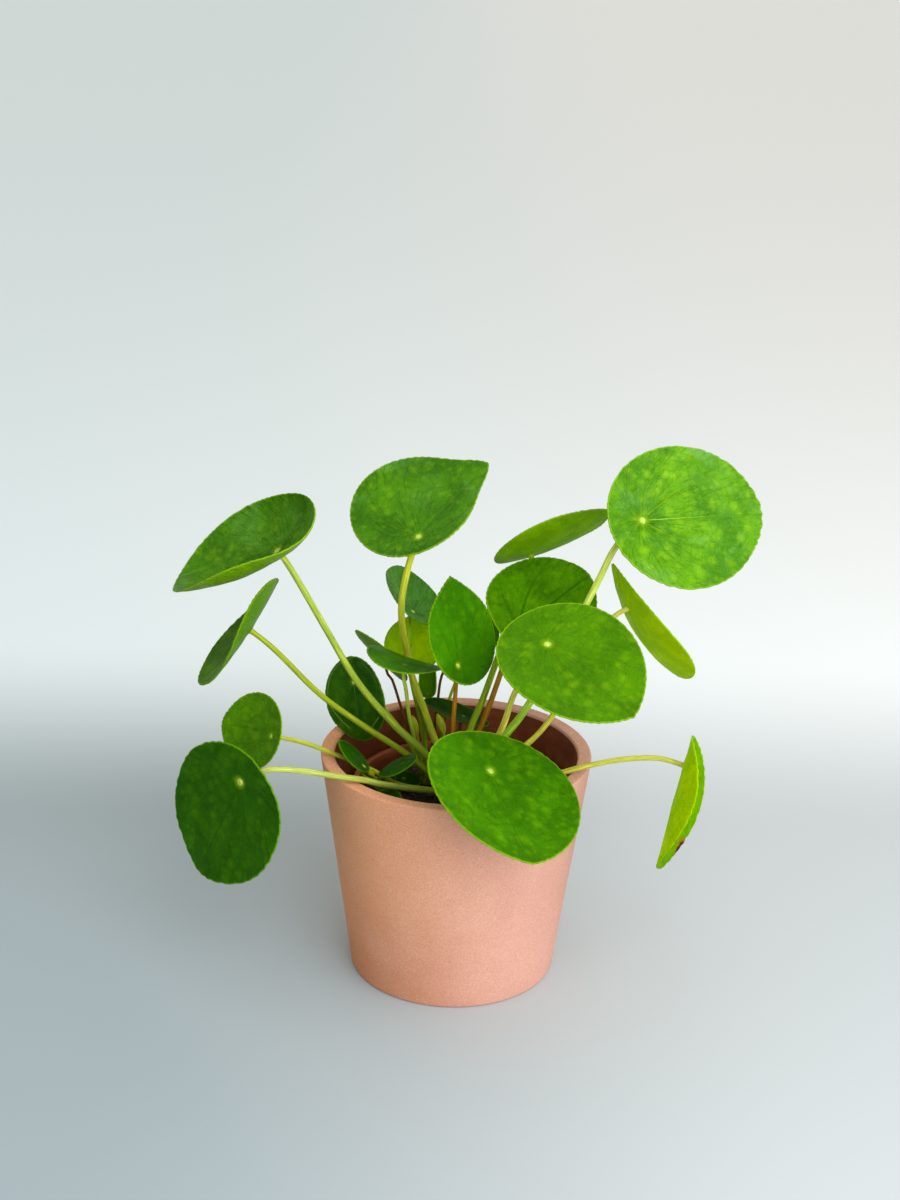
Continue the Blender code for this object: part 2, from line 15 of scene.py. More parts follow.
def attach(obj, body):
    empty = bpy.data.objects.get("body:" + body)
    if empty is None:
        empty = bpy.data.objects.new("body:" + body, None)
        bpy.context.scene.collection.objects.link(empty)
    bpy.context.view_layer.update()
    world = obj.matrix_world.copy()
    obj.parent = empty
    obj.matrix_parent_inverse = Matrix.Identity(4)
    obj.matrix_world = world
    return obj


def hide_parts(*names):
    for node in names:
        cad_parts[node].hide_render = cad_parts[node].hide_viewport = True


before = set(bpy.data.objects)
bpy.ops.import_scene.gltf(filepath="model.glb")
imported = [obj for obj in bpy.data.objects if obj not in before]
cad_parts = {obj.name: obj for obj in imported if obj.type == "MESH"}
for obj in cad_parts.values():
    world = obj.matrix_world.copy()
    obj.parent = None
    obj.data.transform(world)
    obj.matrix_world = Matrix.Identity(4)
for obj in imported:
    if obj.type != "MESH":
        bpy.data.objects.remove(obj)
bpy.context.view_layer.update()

MM = 0.001

# Camera and light, in the photograph's place
CAMERA_PLACE = (-0.0052, -1.0099, 0.592)
CAMERA_DOWN = radians(20.34)
CAMERA_ROLL = radians(1.22)
CAMERA_LENS = 60
CAMERA_CLIP = (0.05, 50)
LAMP_PLACE = (0.68, -0.98, 0.78)
LAMP_TARGET = (0, 0, 0.15)
LAMP_SIZE = 1.4
LAMP_POWER = 24
LAMP_COLOUR = (0.92, 0.97, 1.0)
WORLD_COLOUR = (1.0, 0.965, 0.89)
WORLD_STRENGTH = 0.78

# Floor, with the stretches of X and Y over which its tones change: paler to the right as painted light,
# darker to the left as painted shade, and paler far behind the plant
FLOOR_SIZE = 12
NEAR_SHADED_LEFT = (0.34, 0.41, 0.45)
NEAR_LIT_RIGHT = (0.54, 0.58, 0.61)
NEAR_LIGHT_CHANGE = (-0.2, 0.2)
FAR_SHADED_LEFT = (0.78, 0.9, 0.96)
FAR_LIT_RIGHT = (0.93, 0.97, 1.0)
FAR_LIGHT_CHANGE = (-0.6, 0.6)
DEPTH_CHANGE = (0.16, 0.48)

# Cover pot. Its inner wall turns dark with painted shade between the two depths of the lip below the rim
POT_HEIGHT = 129 * MM
POT_TOP_RADIUS = 75 * MM
POT_BASE_RADIUS = 57.5 * MM
POT_WALL = 7.6 * MM
POT_FLOOR = 8 * MM
POT_EDGE = 1.4 * MM
POT_FLOOR_EDGE = 3 * MM
POT_LIP = (1.6 * MM, 1.8 * MM)
POT_RUN = 12 * MM
POT_SIDES = 192
# Terracotta: darker towards the foot as painted shade, orange on the left as painted shade and pink on
# the right as painted light
POT_PAINTED_SHADE_FOOT = (0.54, 0.2, 0.07)
POT_SHADED_ORANGE_SIDE = (0.8, 0.355, 0.16)
POT_LIT_PINK_SIDE = (0.645, 0.325, 0.258)
POT_CLOUDS = (0.86, 0.5, 0.38)
PALE_GRAIN = (0.92, 0.56, 0.45)
DARK_GRAIN = (0.42, 0.17, 0.1)
# Painted shade inside the cover pot, in darker and lighter clouds
INSIDE_SHADE_DARK = (0.17, 0.034, 0.008)
INSIDE_SHADE_LIGHT = (0.28, 0.08, 0.026)

# Nursery pot
INNER_FOOT = 8.3 * MM
INNER_HEIGHT = 101.7 * MM
INNER_TOP_RADIUS = 54.3 * MM
INNER_BASE_RADIUS = 43 * MM
INNER_RIM_RADIUS = 57.5 * MM
INNER_RIM_DEPTH = 4.5 * MM
INNER_WALL = 1 * MM
INNER_ROUNDINGS = {1: 1.5 * MM, 3: 0.8 * MM, 4: 0.9 * MM, 5: 0.6 * MM, 7: 1.5 * MM}
INNER_SIDES = 144
INNER_DARK = (0.32, 0.068, 0.018)
INNER_LIGHT = (0.42, 0.105, 0.03)
# Painted shade inside the nursery pot
INNER_INSIDE_SHADE = (0.2, 0.032, 0.008)
DRAIN_RADIUS = 4 * MM
DRAIN_CIRCLE_RADIUS = 26 * MM
DRAIN_COUNT = 5
DRAIN_SIDES = 32
DRAIN_CUT = 10 * MM

# Soil
SOIL_TOP = 101 * MM
SOIL_FOOT = 9.6 * MM
SOIL_EDGE = 51.8 * MM
SOIL_FOOT_RADIUS = 40.5 * MM
SOIL_WALL = ((SOIL_EDGE * 0.99, SOIL_TOP - 6 * MM), (SOIL_FOOT_RADIUS, SOIL_FOOT + 2 * MM),
             (SOIL_FOOT_RADIUS - 2 * MM, SOIL_FOOT))
SOIL_RINGS = 70
SOIL_SIDES = 220
SOIL_WAVES = ((0.31, 0.27, 0.4, 0.5), (0.21, 0.55, 0, 0.3), (0.83, -0.47, 1.6, 0.2))
SOIL_LUMP = 1.3 * MM
CRUMB_HEIGHT = 0.9 * MM
CRUMB_SCALE = 0.3
SOIL_DARK = (0.012, 0.007, 0.004)
SOIL_LIGHT = (0.06, 0.032, 0.018)
SOIL_FLECKS = (0.16, 0.1, 0.06)

# Grit: colour, smallest and largest size in millimetres, width as a share of length, and count
GRIT = (((0.05, 0.028, 0.016), (1.2, 2.6), 0.5, 420), ((0.16, 0.085, 0.04), (1.0, 2.4), 0.45, 240),
        ((0.42, 0.36, 0.27), (0.6, 1.4), 0.8, 130), ((0.25, 0.16, 0.08), (0.5, 3.5), 0.22, 170))
GRIT_SEED = 7
GRIT_MARGIN = 1.5 * MM
GRIT_FLATTEST = 0.6
GRIT_SHOWING = 0.18
GRIT_DARK = (0.02, 0.012, 0.008)

# Blades. BLADE_VALUES are what each point tells its material
BLADE_VALUES = ("vein", "order", "branch", "around", "reach", "rim", "centre", "under", "worn")
# A large and a small blade: thickness, columns and rings of points
LARGE_BLADE = (0.9 * MM, 208, 26)
SMALL_BLADE = (0.7 * MM, 112, 16)
SMALL_LENGTH = 50
FULL_LENGTH = 80
TIP_SPREAD = 0.38
SPIKE_SPREAD = 0.14
CURL_START = 0.45
MARGIN_RINGS = (1.0, 0.35)
MARGIN_SQUEEZE = 0.75
SCALLOP_REACH = 8
PUCKER_SIZE = 10
DIMPLE_DEPTH = 0.9 * MM
DIMPLE_RADIUS = 3.2
HIDDEN_SPOT = 1.6
WORN_DEPTH = 0.16

# Veins: direction from the tip and strength of each main one, and how the side veins leave it
VEINS = ((0, 1.0), (42, 0.45), (95, 0.3), (145, 0.15), (215, 0.15), (265, 0.3), (318, 0.45))
VEIN_SWEEP = 0.6
VEIN_DEPTH = 0.28 * MM
VEIN_WIDTH = 1.3
BRANCH_SLANT = 14
BRANCH_SPACING = 6.5
TICKS = 7

# Colours that all blades share
# Painted sheen: a pale bluish colour that stands in for the gloss of the lamp
PAINTED_SHEEN = (0.17, 0.42, 0.09)
SPOT = (0.74, 0.95, 0.16)
SPOT_HALO = (0.4, 0.64, 0.01)
RUST = (0.2, 0.13, 0.01)
WORN = (0.035, 0.006, 0.01)
WORN_EDGE = (0.42, 0.2, 0.01)
SHINE_THROUGH = (0.56, 0.85, 0.001)

# Stalks and stems
STALK_SIDES = 16
STALK_STEP = 3 * MM
STALK_FLARE = (0.35, 1.3 * MM)
STALK_KNOBBLE = (0.03, 0.12)
STREAK_STRETCH = 0.035
STALK_DARK = (0.5, 0.52, 0.4)
STALK_LIGHT = (1.6, 1.45, 1.6)
STEM_FOOT = 72 * MM
STEM_BEND = 103 * MM
STEM_TAPER = 0.35
STEM_RINGS = 60
STEM_SIDES = 24
STEM_LOW = (0.1, 0.065, 0.03)
STEM_HIGH = (0.22, 0.3, 0.04)
SCAR_SPACING = 4.5 * MM
SCAR_RELIEF = 0.06
YOUNG_SIDES = 12
YOUNG_STEP = 0.8 * MM
YOUNG_STALK = 0.7 * MM
YOUNG_LOW = (0.26, 0.32, 0.008)
YOUNG_HIGH = (0.4, 0.42, 0.015)


class Stem(NamedTuple):
    """One stem, in millimetres, that bends from its place in the soil to its crown."""
    place: tuple
    crown: tuple
    radius: float
    top: float


STEMS = {
    "main_stem": Stem((0, 0), (0, 0), 5.6, 118),
    "side_shoot_1": Stem((-16, 12), (-16, 12), 4.2, 109),
    "side_shoot_2": Stem((-40, -10), (-44, -13), 3, 118),
}
MAIN, SHOOT_1, SHOOT_2 = STEMS

# Stalk colours: at the stem, and at the blade
STALKS = {
    "lime": ((0.21, 0.31, 0.01), (0.42, 0.54, 0.06)),
    "olive": ((0.2, 0.27, 0.006), (0.36, 0.44, 0.02)),
    "yellow": ((0.36, 0.43, 0.012), (0.58, 0.62, 0.06)),
    "golden": ((0.54, 0.51, 0.02), (0.74, 0.74, 0.13)),
    "mixed": ((0.28, 0.38, 0.008), (0.74, 0.76, 0.05)),
    "pale": ((0.27, 0.36, 0.016), (0.62, 0.7, 0.15)),
    "fading": ((0.25, 0.58, 0.006), (0.68, 0.74, 0.14)),
    "brown": ((0.1, 0.03, 0.004), (0.2, 0.075, 0.006)),
    "orange": ((0.28, 0.1, 0.004), (0.4, 0.22, 0.006)),
    "green": ((0.18, 0.3, 0.004), (0.34, 0.52, 0.008)),
}


class Look(NamedTuple):
    """Colours of a blade: upper face, its darker places, which also give the painted shade in its vein
    valleys and creases, its paler places, ribs, underside and margin.

    The last values are how strong its spots and its ribs are, the share of light that shines
    through, its index of refraction, which makes its gloss, how strong the painted shade in its
    vein valleys is, and how strong its patches of painted sheen and its pale scars are.
    """
    upper: tuple
    deep_and_shade: tuple
    spots: tuple
    ribs: tuple
    under: tuple
    margin: tuple
    spotted: float
    ribbed: float
    glow: float
    gloss: float
    vein_valley_shade: float = 0.55
    painted_sheen_share: float = 0
    scars: float = 0


LOOKS = {
    "fresh": Look((0.056, 0.235, 0.001), (0.033, 0.155, 0.001), (0.19, 0.45, 0.002), (0.18, 0.4, 0.01),
        (0.26, 0.47, 0.003), (0.3, 0.56, 0.008), 0.5, 0.25, 0.3, 1.12),
    "warm": Look((0.085, 0.265, 0.001), (0.05, 0.18, 0.001), (0.25, 0.5, 0.002), (0.24, 0.46, 0.01),
        (0.28, 0.48, 0.003), (0.32, 0.58, 0.008), 0.4, 0.25, 0.3, 1.14),
    "plain": Look((0.052, 0.23, 0.001), (0.026, 0.14, 0.001), (0.15, 0.38, 0.003), (0.16, 0.38, 0.01),
        (0.22, 0.42, 0.003), (0.28, 0.52, 0.008), 0.3, 0.15, 0.25, 1.07),
    "olive": Look((0.075, 0.24, 0.001), (0.036, 0.14, 0.001), (0.2, 0.44, 0.002), (0.3, 0.52, 0.01),
        (0.3, 0.56, 0.003), (0.36, 0.6, 0.008), 0.4, 0.3, 0.38, 1.05),
    "even": Look((0.065, 0.2, 0.002), (0.036, 0.12, 0.002), (0.15, 0.34, 0.004), (0.16, 0.32, 0.01),
        (0.12, 0.3, 0.004), (0.2, 0.4, 0.008), 0.5, 0.25, 0.24, 1.1),
    "glossy": Look((0.066, 0.245, 0.002), (0.034, 0.15, 0.002), (0.2, 0.45, 0.003), (0.18, 0.4, 0.01),
        (0.22, 0.42, 0.003), (0.28, 0.52, 0.008), 0.5, 0.2, 0.26, 1.22, 0.55, 0.25),
    "bright": Look((0.128, 0.37, 0.001), (0.056, 0.23, 0.001), (0.34, 0.66, 0.003), (0.46, 0.72, 0.04),
        (0.26, 0.5, 0.006), (0.34, 0.62, 0.01), 0.45, 0.8, 0.28, 1.22, 0.55, 0.6),
    "netted": Look((0.1, 0.31, 0.001), (0.034, 0.14, 0.001), (0.2, 0.46, 0.002), (0.03, 0.11, 0.001),
        (0.26, 0.5, 0.006), (0.34, 0.62, 0.01), 0.5, 0.6, 0.28, 1.1, 1.7),
    # Darker green, partly the leaves' own tone and partly painted shade for leaves that face away from
    # the lamp and those low in the plant
    "dark": Look((0.024, 0.12, 0.001), (0.013, 0.075, 0.001), (0.06, 0.2, 0.002), (0.045, 0.16, 0.006),
        (0.1, 0.25, 0.003), (0.14, 0.36, 0.004), 0.5, 0.2, 0.14, 1.1),
    "scarred": Look((0.028, 0.13, 0.001), (0.013, 0.075, 0.001), (0.08, 0.22, 0.004), (0.2, 0.36, 0.06),
        (0.1, 0.25, 0.003), (0.14, 0.36, 0.004), 0.6, 0.9, 0.16, 1.12, 0.9, 0, 0.8),
    # A much darker copy of the blade colours: painted shade for the low leaves that sit under the others
    "shade": Look((0.018, 0.066, 0.001), (0.008, 0.034, 0.001), (0.04, 0.11, 0.002), (0.04, 0.11, 0.004),
        (0.05, 0.12, 0.003), (0.08, 0.16, 0.004), 0.3, 0.2, 0.08, 1.03),
    "blue": Look((0.085, 0.3, 0.018), (0.042, 0.18, 0.01), (0.15, 0.4, 0.028), (0.24, 0.46, 0.05),
        (0.14, 0.36, 0.02), (0.16, 0.4, 0.01), 0.2, 0.4, 0.25, 1.24),
    # Pale lime, its underside far paler still: partly its own paler underside and partly painted light
    # shining through from behind
    "lime": Look((0.19, 0.45, 0.001), (0.09, 0.29, 0.001), (0.34, 0.62, 0.002), (0.56, 0.76, 0.03),
        (0.86, 0.94, 0.002), (0.58, 0.82, 0.01), 0.5, 0.4, 0.6, 1.05),
}


class Leaf(NamedTuple):
    """One leaf, in millimetres and degrees. Its midrib runs from the base edge to the tip.

    Its petiole goes from the root, in its stem, along the way, given from the blade down, to the
    blade's place. The petiole's diameters are those at the blade and at the root.
    """
    stem: str
    place: tuple
    lean: float
    toward: float
    turn: float
    size: tuple
    hold: float
    root: tuple
    way: tuple
    petiole: tuple
    straight: float = 3
    droop: float = 0
    cup: float = 0
    twist: float = 0
    point: float = 0.03
    egg: float = 0.04
    aside: float = 0
    wave: tuple = (0, 5)
    scallops: tuple = (0.4, 56)
    pucker: float = 0.3
    curl: tuple = (0, 1, 0)
    spike: float = 0
    worn: tuple = ()
    dotted: bool = True
    look: str = "fresh"
    stalk: str = "green"


LEAVES = {
    "leaf_01": Leaf(MAIN, (-96.8, -14.6, 248.8), 38, -156, -16, (93, 75), 0.37, (-2, -2, 106),
        ((-86, -14, 232), (-71, -11, 203), (-54, -9, 172), (-34, -6, 146), (-17, -4, 128)), (3.2, 5),
        droop=-25, cup=58, twist=11, point=0.01, egg=-0.06, wave=(0.4, 5), curl=(196, 44, 8),
        look="glossy", stalk="lime"),
    "leaf_02": Leaf(MAIN, (-23, 22, 246), 31, -122, 148, (72, 69), 0.38, (-1, 2, 110),
        ((-26, 25, 236), (-30, 25, 220), (-32, 26, 204), (-31, 28, 188), (-28, 30, 172), (-26, 29, 162),
         (-19, 20, 146), (-12, 11, 130)), (3.6, 4.6), droop=0, cup=12, point=0.15, egg=0.08, aside=0.3,
        spike=2, look="glossy", stalk="mixed"),
    "leaf_03": Leaf(MAIN, (-111, -25, 207.8), 54.6, 177, 15, (68, 62), 0.46, (-2, -1, 104),
        ((-74, -17, 168), (-51, -10, 147), (-27, -3, 127)), (2.8, 4.4), droop=-16, cup=22, twist=-14,
        egg=0.08, aside=0.04, look="even", stalk="olive"),
    "leaf_04": Leaf(MAIN, (-101, -15, 142), 68, -142, -81, (46, 43), 0.2, (-3, 1, 103),
        ((-85, -13, 138), (-75, -14, 135), (-63, -12, 129), (-46, -7, 119), (-31, -4, 109)), (2.4, 3.4),
        droop=-13, cup=8, look="warm", stalk="yellow"),
    "leaf_05": Leaf(MAIN, (-114, -55, 133), 86, -127, -24, (80, 76), 0.22, (-2, -3, 104),
        ((-100, -52, 139), (-82, -49, 137.5), (-69, -47.5, 135), (-59, -46.5, 133), (-49, -45, 131),
         (-39, -37, 124.8), (-29, -25, 117.6)), (3, 4.6), droop=-2, cup=2, twist=3, wave=(0.6, 5),
        scallops=(0.6, 34), look="dark", stalk="pale"),
    "leaf_06": Leaf(MAIN, (18, -62, 146), 31, -41, -28, (89, 87), 0.29, (1, -2, 108),
        ((11, -45, 134), (6, -24, 120)), (3.2, 4.8), droop=-10, cup=17, spike=1.5),
    "leaf_07": Leaf(MAIN, (121.5, -46.5, 144), 97, -25, -2, (74, 60), 0.27, (3, -2, 104),
        ((108, -42, 146), (96, -38, 144), (85, -35, 141), (72, -31, 136), (65, -29, 133), (58, -26, 129),
         (30, -13, 113)), (2.8, 3.8), droop=-6, cup=44, twist=16, egg=0.07, aside=-0.17,
        scallops=(0.6, 40), worn=(29, 10), look="lime", stalk="golden"),
    "leaf_08": Leaf(MAIN, (96, 0, 265), 52, -72, 89, (88, 80), 0.22, (2, 0, 110),
        ((83, 1, 250), (75, 1, 232), (68, 1, 216), (40, 0, 159), (27, 0, 139)), (3.4, 5), droop=2, cup=4,
        twist=6, point=0.02, egg=0.05, pucker=0.8, scallops=(0.7, 42), look="bright", stalk="fading"),
    "leaf_09": Leaf(MAIN, (40, 70, 221), 35, 121, -137, (70, 67), 0.29, (1, 3, 108),
        ((22, 38, 168), (14, 21, 150), (8, 13, 137)), (3, 4.8), droop=-13, cup=20, twist=-3,
        look="olive"),
    "leaf_10": Leaf(MAIN, (46, -42, 210), 29, -80, 36, (81, 76), 0.28, (2, -2, 107),
        ((31, -29, 178), (23, -19, 148)), (3, 4.4), cup=14, egg=0.06, spike=1.5, look="warm",
        stalk="golden"),
    "leaf_11": Leaf(MAIN, (34, 30, 191), 48, -48, 105, (70, 65), 0.22, (2, 2, 112),
        ((25, 24, 169), (18, 17, 149), (11, 10, 132)), (2.8, 4), droop=-19, cup=-19, look="netted",
        stalk="orange"),
    "leaf_12": Leaf(MAIN, (94, 28, 205), 67, 19, 12, (83, 80), 0.27, (3, 1, 104),
        ((82, 25, 196), (54, 16, 145), (40, 11, 129)), (2.8, 4), droop=-18, cup=29, twist=-7, look="lime",
        stalk="golden"),
    "leaf_13": Leaf(MAIN, (0, -28, 191), 67, -38, 173, (53, 51), 0.22, (0, -3, 110),
        ((-1, -24, 181), (-2, -16, 149)), (2.2, 3.2), straight=2, point=0.07, aside=-0.15, twist=-3,
        spike=2.5, pucker=0.5, look="plain", stalk="orange"),
    "leaf_14": Leaf(SHOOT_1, (-26, 52, 191), 37, -11, 132, (43, 41), 0.24, (-16, 13, 104),
        ((-28, 50, 184), (-28, 44, 171), (-26, 37, 158), (-19, 28, 138)), (1.8, 2.6), straight=2,
        droop=-13, cup=26, aside=-0.05, look="blue"),
    "leaf_15": Leaf(SHOOT_1, (-26, 61, 167), 78, 85, -170, (39, 33), 0.5, (-15, 14, 103),
        ((-28, 54, 159), (-26, 43, 150), (-20, 30, 130)), (1.8, 2.4), straight=2, look="lime"),
    "leaf_16": Leaf(SHOOT_1, (-29, -8, 183), 12, 30, 61, (46, 43), 0.31, (-17, 11, 105),
        ((-28, -5, 166), (-26, -1, 148)), (2, 2.8), straight=2, droop=12, cup=6, twist=8, dotted=False,
        look="plain", stalk="lime"),
    "leaf_17": Leaf(SHOOT_1, (-39, 40, 162), 52, 36, 155, (40, 38), 0.32, (-17, 13, 104),
        ((-37, 37, 155), (-32, 31, 142)), (1.5, 2.2), straight=2, droop=-5, cup=15, stalk="brown"),
    "leaf_18": Leaf(SHOOT_1, (-58, 18, 161), 82, -133, 19, (47, 45), 0.31, (-17, 12, 103),
        ((-39, 16, 144), (-27, 13, 128)), (1.8, 2.6), straight=2, droop=7, cup=5, twist=-6,
        look="scarred"),
    "leaf_19": Leaf(SHOOT_2, (-50, -19, 127), 41, 0, 176, (23, 22), 0.16, (-44, -13, 115),
        ((-50, -17, 120),), (1.4, 2), straight=2, droop=-4, look="dark"),
    "leaf_20": Leaf(SHOOT_2, (-29, -20, 130), 27, 173, -5, (24, 23), 0.37, (-43, -13, 116),
        ((-35, -16, 122),), (1.4, 2), straight=2, droop=7, cup=-10, dotted=False, look="dark"),
    "leaf_21": Leaf(SHOOT_2, (-29, 8, 107.5), 12, -60, 40, (15, 14), 0.35, (-40, -10, 105),
        ((-34, 2, 104.5),), (1.2, 1.8), straight=1.5, dotted=False, look="shade"),
    "leaf_22": Leaf(MAIN, (4, 34, 135), 22, 10, -170, (41, 30), 0.38, (0, 2, 110),
        ((3, 22, 123),), (2, 2.8), straight=4, droop=-6, cup=10, dotted=False, look="shade",
        stalk="brown"),
    "leaf_23": Leaf(SHOOT_2, (-36, -32, 114), 18, -120, -30, (20, 18), 0.35, (-41, -11, 108),
        ((-38, -24, 109),), (1.2, 1.8), straight=1.5, look="dark"),
    "leaf_24": Leaf(SHOOT_1, (-17, 48, 142), 80, -90, 180, (20, 14), 0.12, (-15, 13, 104),
        ((-18, 50, 136), (-18, 38, 124)), (1.5, 2), straight=2, cup=80, dotted=False, look="olive"),
    "leaf_25": Leaf(SHOOT_1, (2, 50, 166), 55, -70, 150, (25, 22), 0.25, (-15, 12, 104),
        ((-8, 51, 155), (-11, 49, 138), (-13, 34, 120)), (1.5, 2), straight=2, cup=15, stalk="brown"),
    "leaf_26": Leaf(SHOOT_1, (9, 62, 168), 55, -70, 150, (28, 26), 0.25, (-14, 12, 104),
        ((-2, 55, 144), (-6, 48, 132), (-9, 34, 118)), (1.6, 2.2), straight=2, cup=15),
}


class YoungLeaf(NamedTuple):
    """A leaf that is still folded into a spindle on a short stalk, in millimetres."""
    stem: str
    root: tuple
    foot: tuple
    tip: tuple
    radius: float


YOUNG_LEAVES = (
    YoungLeaf(MAIN, (-2, 3, 114), (-7, 15, 132), (-11, 18, 143), 2.2),
    YoungLeaf(SHOOT_1, (-17, 13, 106), (-22, 15, 131), (-25, 17, 142), 1.8),
    YoungLeaf(SHOOT_2, (-44, -13, 114), (-45, -13, 118), (-49, -12, 122), 1.6),
)


class Shader:
    """A material's nodes, made by short calls."""

    def __init__(self, name):
        self.material = bpy.data.materials.new(name)
        self.material.use_nodes = True
        self.tree = self.material.node_tree
        self.tree.nodes.clear()

    def node(self, kind, inputs=None, **settings):
        made = self.tree.nodes.new("ShaderNode" + kind)
        for name, value in settings.items():
            setattr(made, name, value)
        for name, value in (inputs or {}).items():
            self.feed(made.inputs[name], value)
        return made

    def feed(self, socket, value):
        if isinstance(value, bpy.types.NodeSocket):
            self.tree.links.new(value, socket)
        elif isinstance(value, tuple) and len(value) == 3 and socket.type == "RGBA":
            socket.default_value = (*value, 1)
        else:
            socket.default_value = value

    def place(self):
        return self.node("TexCoord").outputs["Object"]

    def attribute(self, name, output="Fac"):
        return self.node("Attribute", attribute_name=name).outputs[output]

    def math(self, operation, *values):
        return self.node("Math", dict(enumerate(values)), operation=operation).outputs[0]

    def times(self, first, second):
        return self.math("MULTIPLY", first, second)

    def ramp(self, value, low, high, start=0.0, end=1.0):
        """start below low, end above high, and a smooth step between them."""
        made = self.node("MapRange", {"Value": value, "From Min": low, "From Max": high,
                                      "To Min": start, "To Max": end}, interpolation_type="SMOOTHSTEP")
        return made.outputs["Result"]

    def mix(self, share, first, second, blend="MIX"):
        made = self.node("Mix", data_type="RGBA", blend_type=blend, clamp_factor=True)
        for index, value in ((0, share), (6, first), (7, second)):
            self.feed(made.inputs[index], value)
        return made.outputs[2]

    def coats(self, colour, *coats):
        """The colour under coats of paint, each with its mask, its strength and its tone."""
        for mask, strength, tone in coats:
            colour = self.mix(self.times(mask, strength), colour, tone)
        return colour

    def noise(self, vector, scale, detail=2.0, roughness=0.5, distortion=0.0):
        return self.node("TexNoise", {"Vector": vector, "Scale": scale, "Detail": detail,
                                      "Roughness": roughness, "Distortion": distortion}).outputs["Fac"]

    def cells(self, vector, scale, feature="F1"):
        return self.node("TexVoronoi", {"Vector": vector, "Scale": scale},
                         feature=feature).outputs["Distance"]

    def bump(self, height, distance, strength):
        return self.node("Bump", {"Height": height, "Distance": distance,
                                  "Strength": strength}).outputs["Normal"]

    def surface(self, **inputs):
        named = {key.replace("_", " "): value for key, value in inputs.items()}
        return self.node("BsdfPrincipled", named).outputs[0]

    def shine_through(self, share, skin, **inputs):
        """The skin, with a share of the light shining through it."""
        glow = self.node("BsdfTranslucent", inputs).outputs[0]
        return self.node("MixShader", {0: share, 1: skin, 2: glow}).outputs[0]

    def finish(self, shader):
        output = self.node("OutputMaterial")
        self.tree.links.new(shader, output.inputs["Surface"])
        return self.material


def pot_material():
    """Matte terracotta with its own fine grain and clouds. Painted shade darkens its foot, turns its left
    side orange and darkens its inside; painted light turns its right side pink.
    """
    s = Shader("terracotta")
    place = s.place()
    parts = s.node("SeparateXYZ", {"Vector": place}).outputs
    drawn = s.node("VectorMath", {0: place, 1: (1, 1, 2.2)}, operation="MULTIPLY").outputs[0]
    fine = s.noise(drawn, 2000, 2, 0.6)
    grain = s.noise(drawn, 900, 3, 0.65)
    cloud = s.noise(place, 24, 4, 0.6)
    # Painted shade for the inside of the pot
    inside = s.mix(s.ramp(cloud, 0.4, 0.6), INSIDE_SHADE_DARK, INSIDE_SHADE_LIGHT)
    # Painted shade: darker towards the foot
    colour = s.mix(s.ramp(parts["Z"], 0.0, 0.09), POT_PAINTED_SHADE_FOOT, POT_SHADED_ORANGE_SIDE)
    # Painted shade and light: orange on the shaded left side, pink on the lit right side
    colour = s.mix(s.ramp(parts["X"], -0.075, 0.05), colour, POT_LIT_PINK_SIDE)
    colour = s.coats(
        colour, (s.ramp(cloud, 0.35, 0.68), 0.22, POT_CLOUDS),
        (s.ramp(grain, 0.5, 0.66), 0.32, PALE_GRAIN), (s.ramp(fine, 0.5, 0.62), 0.62, DARK_GRAIN))
    colour = s.mix(s.attribute("inside"), colour, inside)
    normal = s.bump(s.math("ADD", s.times(fine, 0.6), s.times(grain, 0.8)), 0.35 * MM, 0.5)
    return s.finish(s.surface(Base_Color=colour, Roughness=0.82, Normal=normal, Specular_IOR_Level=0.3))


def nursery_material():
    """Thin brown plastic, a little uneven, with painted shade darkening its inside."""
    s = Shader("nursery plastic")
    place = s.place()
    colour = s.mix(s.ramp(s.noise(place, 60, 3), 0.35, 0.7), INNER_DARK, INNER_LIGHT)
    # Painted shade on the inside
    colour = s.mix(s.attribute("inside"), colour, INNER_INSIDE_SHADE)
    normal = s.bump(s.noise(place, 420, 2), 0.2 * MM, 0.3)
    return s.finish(s.surface(Base_Color=colour, Roughness=0.48, Normal=normal))


def soil_material():
    """Dark moist potting soil."""
    s = Shader("potting soil")
    place = s.place()
    colour = s.mix(s.ramp(s.noise(place, 260, 4, 0.7), 0.4, 0.7), SOIL_DARK, SOIL_LIGHT)
    colour = s.mix(s.ramp(s.noise(place, 700, 2), 0.62, 0.72), colour, SOIL_FLECKS)
    normal = s.bump(s.noise(place, 900, 4, 0.7), 0.8 * MM, 0.9)
    return s.finish(s.surface(Base_Color=colour, Roughness=0.92, Normal=normal))


def grit_material():
    """Bits of bark, fibre and pale grit, each with its own tint."""
    s = Shader("grit")
    place = s.place()
    dirt = s.ramp(s.noise(place, 800, 3), 0.35, 0.65)
    colour = s.coats(s.attribute("tint", "Color"), (dirt, 0.5, GRIT_DARK))
    normal = s.bump(s.noise(place, 1500, 2), 0.3 * MM, 0.6)
    return s.finish(s.surface(Base_Color=colour, Roughness=0.85, Normal=normal))


def stalk_material():
    """Juicy stalks with lengthwise grooves and streaks, tinted along their length."""
    s = Shader("stalk")
    grain = s.attribute("grain", "Vector")
    tint = s.attribute("tint", "Color")
    streak = s.noise(grain, 2.2, 2, 0.5)
    thin = s.noise(grain, 6, 2, 0.5)
    colour = s.coats(tint, (s.ramp(thin, 0.5, 0.64), 0.45, s.mix(1.0, tint, STALK_DARK, "MULTIPLY")),
                     (s.ramp(streak, 0.5, 0.64), 0.75, s.mix(1.0, tint, STALK_LIGHT, "MULTIPLY")))
    normal = s.bump(s.math("ADD", streak, s.times(thin, 0.4)), 0.35 * MM, 0.6)
    skin = s.surface(Base_Color=colour, Roughness=0.42, Normal=normal, IOR=1.2)
    return s.finish(s.shine_through(0.15, skin, Color=colour))


